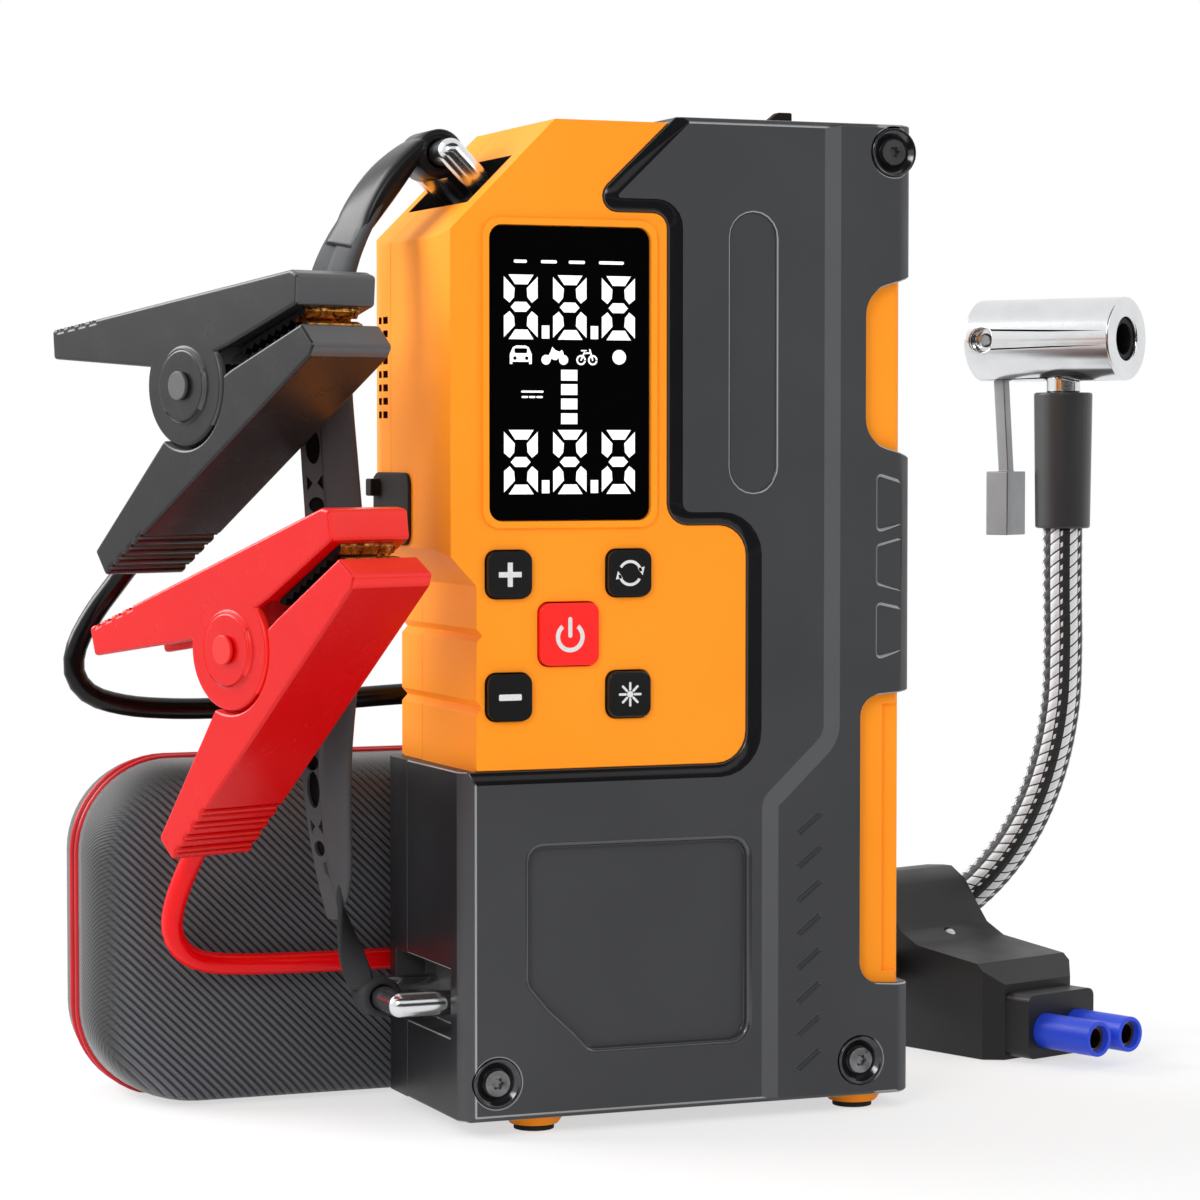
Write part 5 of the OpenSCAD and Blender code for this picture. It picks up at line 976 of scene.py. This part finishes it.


# ---------- clamps ----------
# Each clamp is a pair of moulded ABS arms round a steel pin, pushed shut by a wound spring.
# The black pair is satin grey-black and the red pair bright red, and the faces of both that don't face up are
# painted in a darker copy, as shade. The jaws are stamped copper strips with rough teeth, bright where they
# bite and painted near-black further in, as shade.

clamp_finishes = {
    "black": (moulded("clamp_black_abs", "#59595B", "#4A4A4C", 0.3, grain_mm=0.4, grain_depth=0.004),
        moulded("clamp_black_painted_shade", "#222223", "#181818", 0.26, grain_mm=0.4, grain_depth=0.004)),
    "red": (moulded("clamp_red_abs", "#F02E28", "#E8241F", 0.3, grain_mm=0.4, grain_depth=0.004),
        moulded("clamp_red_painted_shade", "#D00406", "#BE0004", 0.26, grain_mm=0.4, grain_depth=0.004))}
for colour_name, finishes in clamp_finishes.items():
    for part in ("lower_arm", "upper_arm"):
        arm = dress(colour_name + "_clamp_" + part, *finishes)
        # Faces that don't face up, other than the flat sides, take the darker copy: painted shade
        for polygon in arm.data.polygons:
            if polygon.normal.z < 0.15 and abs(polygon.normal.y) < 0.7:
                polygon.material_index = 1
        eased(arm, 0.75, angle=35, segments=3)

# Stamped copper: hammered in dents 1.4 mm across, and heat-stained from bright to dark in
# patches 2.4 mm across
jaw_copper, tree = fresh("stamped_copper")
where = add(tree, "TexCoord").outputs["Object"]
heat = add(tree, "TexNoise", Vector=where, Scale=1000 / 2.38, Detail=4.0, Distortion=1.2)
tone = add(tree, "ValToRGB", Fac=heat)
for entry, place, colour in zip(tone.color_ramp.elements, (0.32, 0.62), ("#4A2410", "#D99A4A")):
    entry.position = place
    entry.color = ink(colour)
crumple = add(tree, "TexNoise", Vector=where, Scale=1000 / 1.43, Detail=2.0)
relief = add(tree, "Bump", Strength=0.9, Distance=0.0006, Height=crumple)
dull = add(tree, "MapRange", Value=heat, i3=0.22, i4=0.42)
skin = add(tree, "BsdfPrincipled", Base_Color=tone, Metallic=1.0, Roughness=dull, Normal=relief)
add(tree, "OutputMaterial", Surface=skin)
# The part of each jaw in the lower 52 % of its x span is painted near-black, as shade
jaw_painted_shade = moulded("jaw_painted_shade", "#120E0C", "#0A0807", 0.7, shine=0.1)
for node in ("black_clamp_lower_jaw", "black_clamp_upper_jaw", "red_clamp_lower_jaw", "red_clamp_upper_jaw"):
    jaw = dress(node, jaw_copper, jaw_painted_shade)
    low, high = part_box(node)
    for polygon in jaw.data.polygons:
        if polygon.center.x < low[0] + 0.52 * (high[0] - low[0]):
            polygon.material_index = 1

# The red clamp's pin is the lower one, and the black clamp's lies above 120 mm
pins = dress("clamp_pins", clamp_finishes["red"][0], clamp_finishes["black"][0])
for polygon in pins.data.polygons:
    polygon.material_index = 1 if polygon.center.z > 0.12 else 0
eased(pins, 0.2)
dress("clamp_springs", metal("spring_steel", "#9A9DA1", "#7C7F84", 0.28))


# ---------- smart box and plug ----------
# The leads end in a two-part black ABS box with a status lamp, and a plug of blue nylon whose
# two tubes hold the brass contacts. The box is satin, its seam runs round it at a quarter of
# its height, and the tubes are slightly chalky at their rims.

box_abs = moulded("box_black_abs", "#262627", "#1D1D1E", 0.4, grain_mm=0.35, grain_depth=0.006)
for node in ("box_upper_shell", "box_lower_shell"):
    eased(dress(node, box_abs), 0.7, segments=3, clamped=True)
eased(dress("jump_plug", blue_nylon), 0.35)
dress("plug_contacts", brass)


# ---------- chuck ----------
# The hose ends in a clip-on chuck: a turned brass barrel, thickly chromed, with a black
# rubber seal in its mouth and a thumb lever of bent steel. A tapered rubber sleeve grips the
# hose under it.

sleeve_rubber = moulded("sleeve_rubber", "#3A3A3B", "#2E2E2F", 0.34,
    grain_mm=0.3, grain_depth=0.006, shine=0.4)
eased(dress("hose_sleeve", sleeve_rubber), 0.6)
eased(dress("chuck_barrel", chrome), 0.5, segments=3)
eased(dress("chuck_seal", moulded("seal_rubber", "#0D0D0E", "#080809", 0.6)), 0.3)
eased(dress("chuck_lever", metal("lever_zinc_plated_steel", "#9C9EA0", "#87898C", 0.4)), 0.25)


# ---------- storage case ----------
# A zipped case of pressed foam under ribbed nylon, as two domed halves that fold open on a
# cloth hinge at the top. A dark red piping is sewn round each rim, and a zip with a metal
# slider runs between them. The ribs fade out where the foam was pressed hard at the rim.

# Ribbed nylon: near-black valleys, and ridges painted grey as sheen, both varying in patches 71 mm across.
# The ribs lie 1.5 mm apart and slope down to the right at 45 degrees
case_fabric, tree = fresh("ribbed_nylon_over_foam")
where = add(tree, "TexCoord").outputs["Object"]
axes = add(tree, "SeparateXYZ", Vector=where)
wander = add(tree, "TexNoise", Vector=where, Scale=1000 / 40, Detail=1.0)
slope = add(tree, "Math", {"operation": "ADD"}, i0=axes.outputs["X"], i1=axes.outputs["Z"])
straight = add(tree, "Math", {"operation": "MULTIPLY"}, i0=slope, i1=math.tau / (0.0015 * math.sqrt(2)))
bent = add(tree, "Math", {"operation": "MULTIPLY_ADD"}, i0=wander, i1=3.0, i2=straight)
wave = add(tree, "Math", {"operation": "SINE"}, i0=bent)
rim_mask = add(tree, "Attribute", {"attribute_name": "ribbed"})
rib = add(tree, "MapRange", Value=wave, i1=-0.75, i2=0.1)
ribbed = add(tree, "Math", {"operation": "MULTIPLY"}, i0=rib, i1=rim_mask.outputs["Fac"])
tone_and_sheen_patch = add(tree, "TexNoise", Vector=where, Scale=1000 / 71, Detail=2.0)
base = add(tree, "Mix", {"data_type": "RGBA"}, i0=tone_and_sheen_patch, i6=ink("#101113"), i7=ink("#1A1B1D"))
ridge_painted_sheen = add(tree, "Mix", {"data_type": "RGBA"}, i0=tone_and_sheen_patch, i6=ink("#46484D"), i7=ink("#62646B"))
tone = add(tree, "Mix", {"data_type": "RGBA"}, i0=ribbed, i6=base, i7=ridge_painted_sheen)
# Threads lie 0.25 mm apart, and are drawn 0.74 mm apart so that they show. A diagonal wave has
# ten times its scale, in radians along x + y + z
thread = add(tree, "TexWave", {"bands_direction": "DIAGONAL"}, Vector=where,
    Scale=math.tau * 1000 / (10 * 0.74 * math.sqrt(2)))
height = add(tree, "Math", {"operation": "MULTIPLY_ADD"}, i0=thread.outputs["Fac"], i1=0.12, i2=ribbed)
relief = add(tree, "Bump", Strength=0.9, Distance=0.0004, Height=height)
skin = add(tree, "BsdfPrincipled", Base_Color=tone, Roughness=0.62, Sheen_Weight=0.35, Sheen_Roughness=0.35,
    Normal=relief)
add(tree, "OutputMaterial", Surface=skin)

# The closed case's outline in mm, seen from the front, and its corners' radius
case_left, case_right, case_top, case_round = -122.0, 18.0, 80.0, 22.0


def case_ring(inset, y):
    """Ring of the case's rounded outline, drawn in by inset, at depth y."""
    corner = max(case_round - inset * 0.6, 6.0)
    steps = 14
    ring = [(x, y, z) for x, z in
        rounded_box(case_left + inset, inset * 0.15, case_right - inset, case_top - inset, corner, steps)]
    # Each side is cut in as many parts on every ring, so that the rings' points line up
    parted = []
    for k, (a, b) in enumerate(zip(ring, ring[1:] + ring[:1])):
        parts = (9, 24)[k // (steps + 1) % 2] if (k + 1) % (steps + 1) == 0 else 1
        parted += [tuple(p + (q - p) * n / parts for p, q in zip(a, b)) for n in range(parts)]
    return [spot(*p) for p in parted]


def case_half(name, seam, face, body):
    """One domed half from its seam to its face, as a skin 2.2 mm thick with a rolled rim."""
    way = 1 if face > seam else -1
    depth = abs(face - seam)
    # Inset in mm and share of the depth, from the seam over the rim to the dome
    rows = [(0, 0), (0, 0.16), (0.25, 0.32), (0.8, 0.46), (1.7, 0.58), (3.1, 0.70), (5.0, 0.80),
        (7.6, 0.87), (10.8, 0.915), (14.5, 0.945), (19, 0.965), (25, 0.982), (32, 0.994)]
    outer, masks = [], []
    for inset, share in rows:
        outer.append(case_ring(inset, seam + way * depth * share))
        masks.append(min(1.0, max(0.0, (inset - 2.5) / 4.0)))
    count = len(outer[0])
    middle = sum(outer[-1], Vector()) / count
    for share in (0.6, 0.25, 0.05):
        outer.append([middle.lerp(p, share) for p in outer[len(rows) - 1]])
        masks.append(1.0)
    verts, faces = loft(outer, capped=False)
    faces.append(tuple(range((len(outer) - 1) * count, len(outer) * count)))
    half = piece(name, (verts, faces), case_fabric, body)
    mask = half.data.attributes.new("ribbed", "FLOAT", "POINT")
    mask.data.foreach_set("value", [m for m in masks for k in range(count)])
    skin_depth = half.modifiers.new("foam", "SOLIDIFY")
    skin_depth.thickness = 0.0022
    skin_depth.offset = -1.0 if way < 0 else 1.0
    return half


front_half = case_half("case_front_half", 56.5, 34.5, "root")
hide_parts("case_front_shell")
rear_half = case_half("case_rear_half", 60.9, 82.9, "case_rear")
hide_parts("case_rear_shell")

piping_vinyl = extruded_pvc("piping_dark_red_vinyl", "#C4141F", "#A00D17", 0.34)


def bead(y):
    """Closed round bead along the case's outline, squashed flat where the case stands on it."""
    path = case_ring(0.3, y)
    side = Vector((0, 1, 0))
    rings = []
    for k in range(len(path)):
        over = (path[(k + 1) % len(path)] - path[k - 1]).normalized().cross(side).normalized()
        turns = [math.tau * n / 12 for n in range(12)]
        rings.append([path[k] + (side * math.cos(a) + over * math.sin(a)) * 1.05 / 1000 for a in turns])
        for point in rings[-1]:
            point.z = max(point.z, 0.0)
    return loft(rings + rings[:1], capped=False)


piping_front = piece("case_piping_front", bead(57.4), piping_vinyl)
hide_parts("case_piping")
piece("case_piping_rear", bead(61.9), piping_vinyl, "case_rear")

# Woven polyester: dull black, in a twill drawn 0.89 mm apart so that it shows
zip_tape, tree = fresh("woven_zip_tape")
where = add(tree, "TexCoord").outputs["Object"]
twill = add(tree, "TexWave", {"bands_direction": "DIAGONAL"}, Vector=where,
    Scale=math.tau * 1000 / (10 * 0.89 * math.sqrt(2)))
tone = add(tree, "Mix", {"data_type": "RGBA"}, i0=twill.outputs["Fac"], i6=ink("#1C1C1E"), i7=ink("#2B2B2E"))
relief = add(tree, "Bump", Strength=0.6, Distance=0.0001, Height=twill.outputs["Fac"])
skin = add(tree, "BsdfPrincipled", Base_Color=tone, Roughness=0.8, Normal=relief)
add(tree, "OutputMaterial", Surface=skin)
tape_rings = [case_ring(inset, y) for inset, y in
    ((1.6, 57.6), (1.2, 57.6), (1.2, 60.3), (1.6, 60.3), (1.6, 57.6))]
piece("case_zip_tape", loft(tape_rings, capped=False), zip_tape)
zip_metal = metal("zip_nickel", "#B8BABD", "#96999D", 0.28)
tooth_path = case_ring(1.0, 58.95)
# The teeth stand 1.6 mm apart, to the front and to the rear of the seam in turn
teeth = []
for k, at in enumerate(smooth_line(tooth_path + tooth_path[:1], 0.0016)):
    out = Vector((at.x - spot(-52, 0, 40).x, 0, at.z - 0.04)).normalized()
    shift = Vector((0, 0.35 if k % 2 else -0.35, 0)) / 1000
    teeth.append(turned(at + shift - out * 0.0003, out, [(0, 0.55), (0.7, 0.5), (0.95, 0.3)], 6))
piece("case_zip_teeth", merged(teeth), zip_metal)
eased(dress("zip_slider", zip_metal), 0.3)
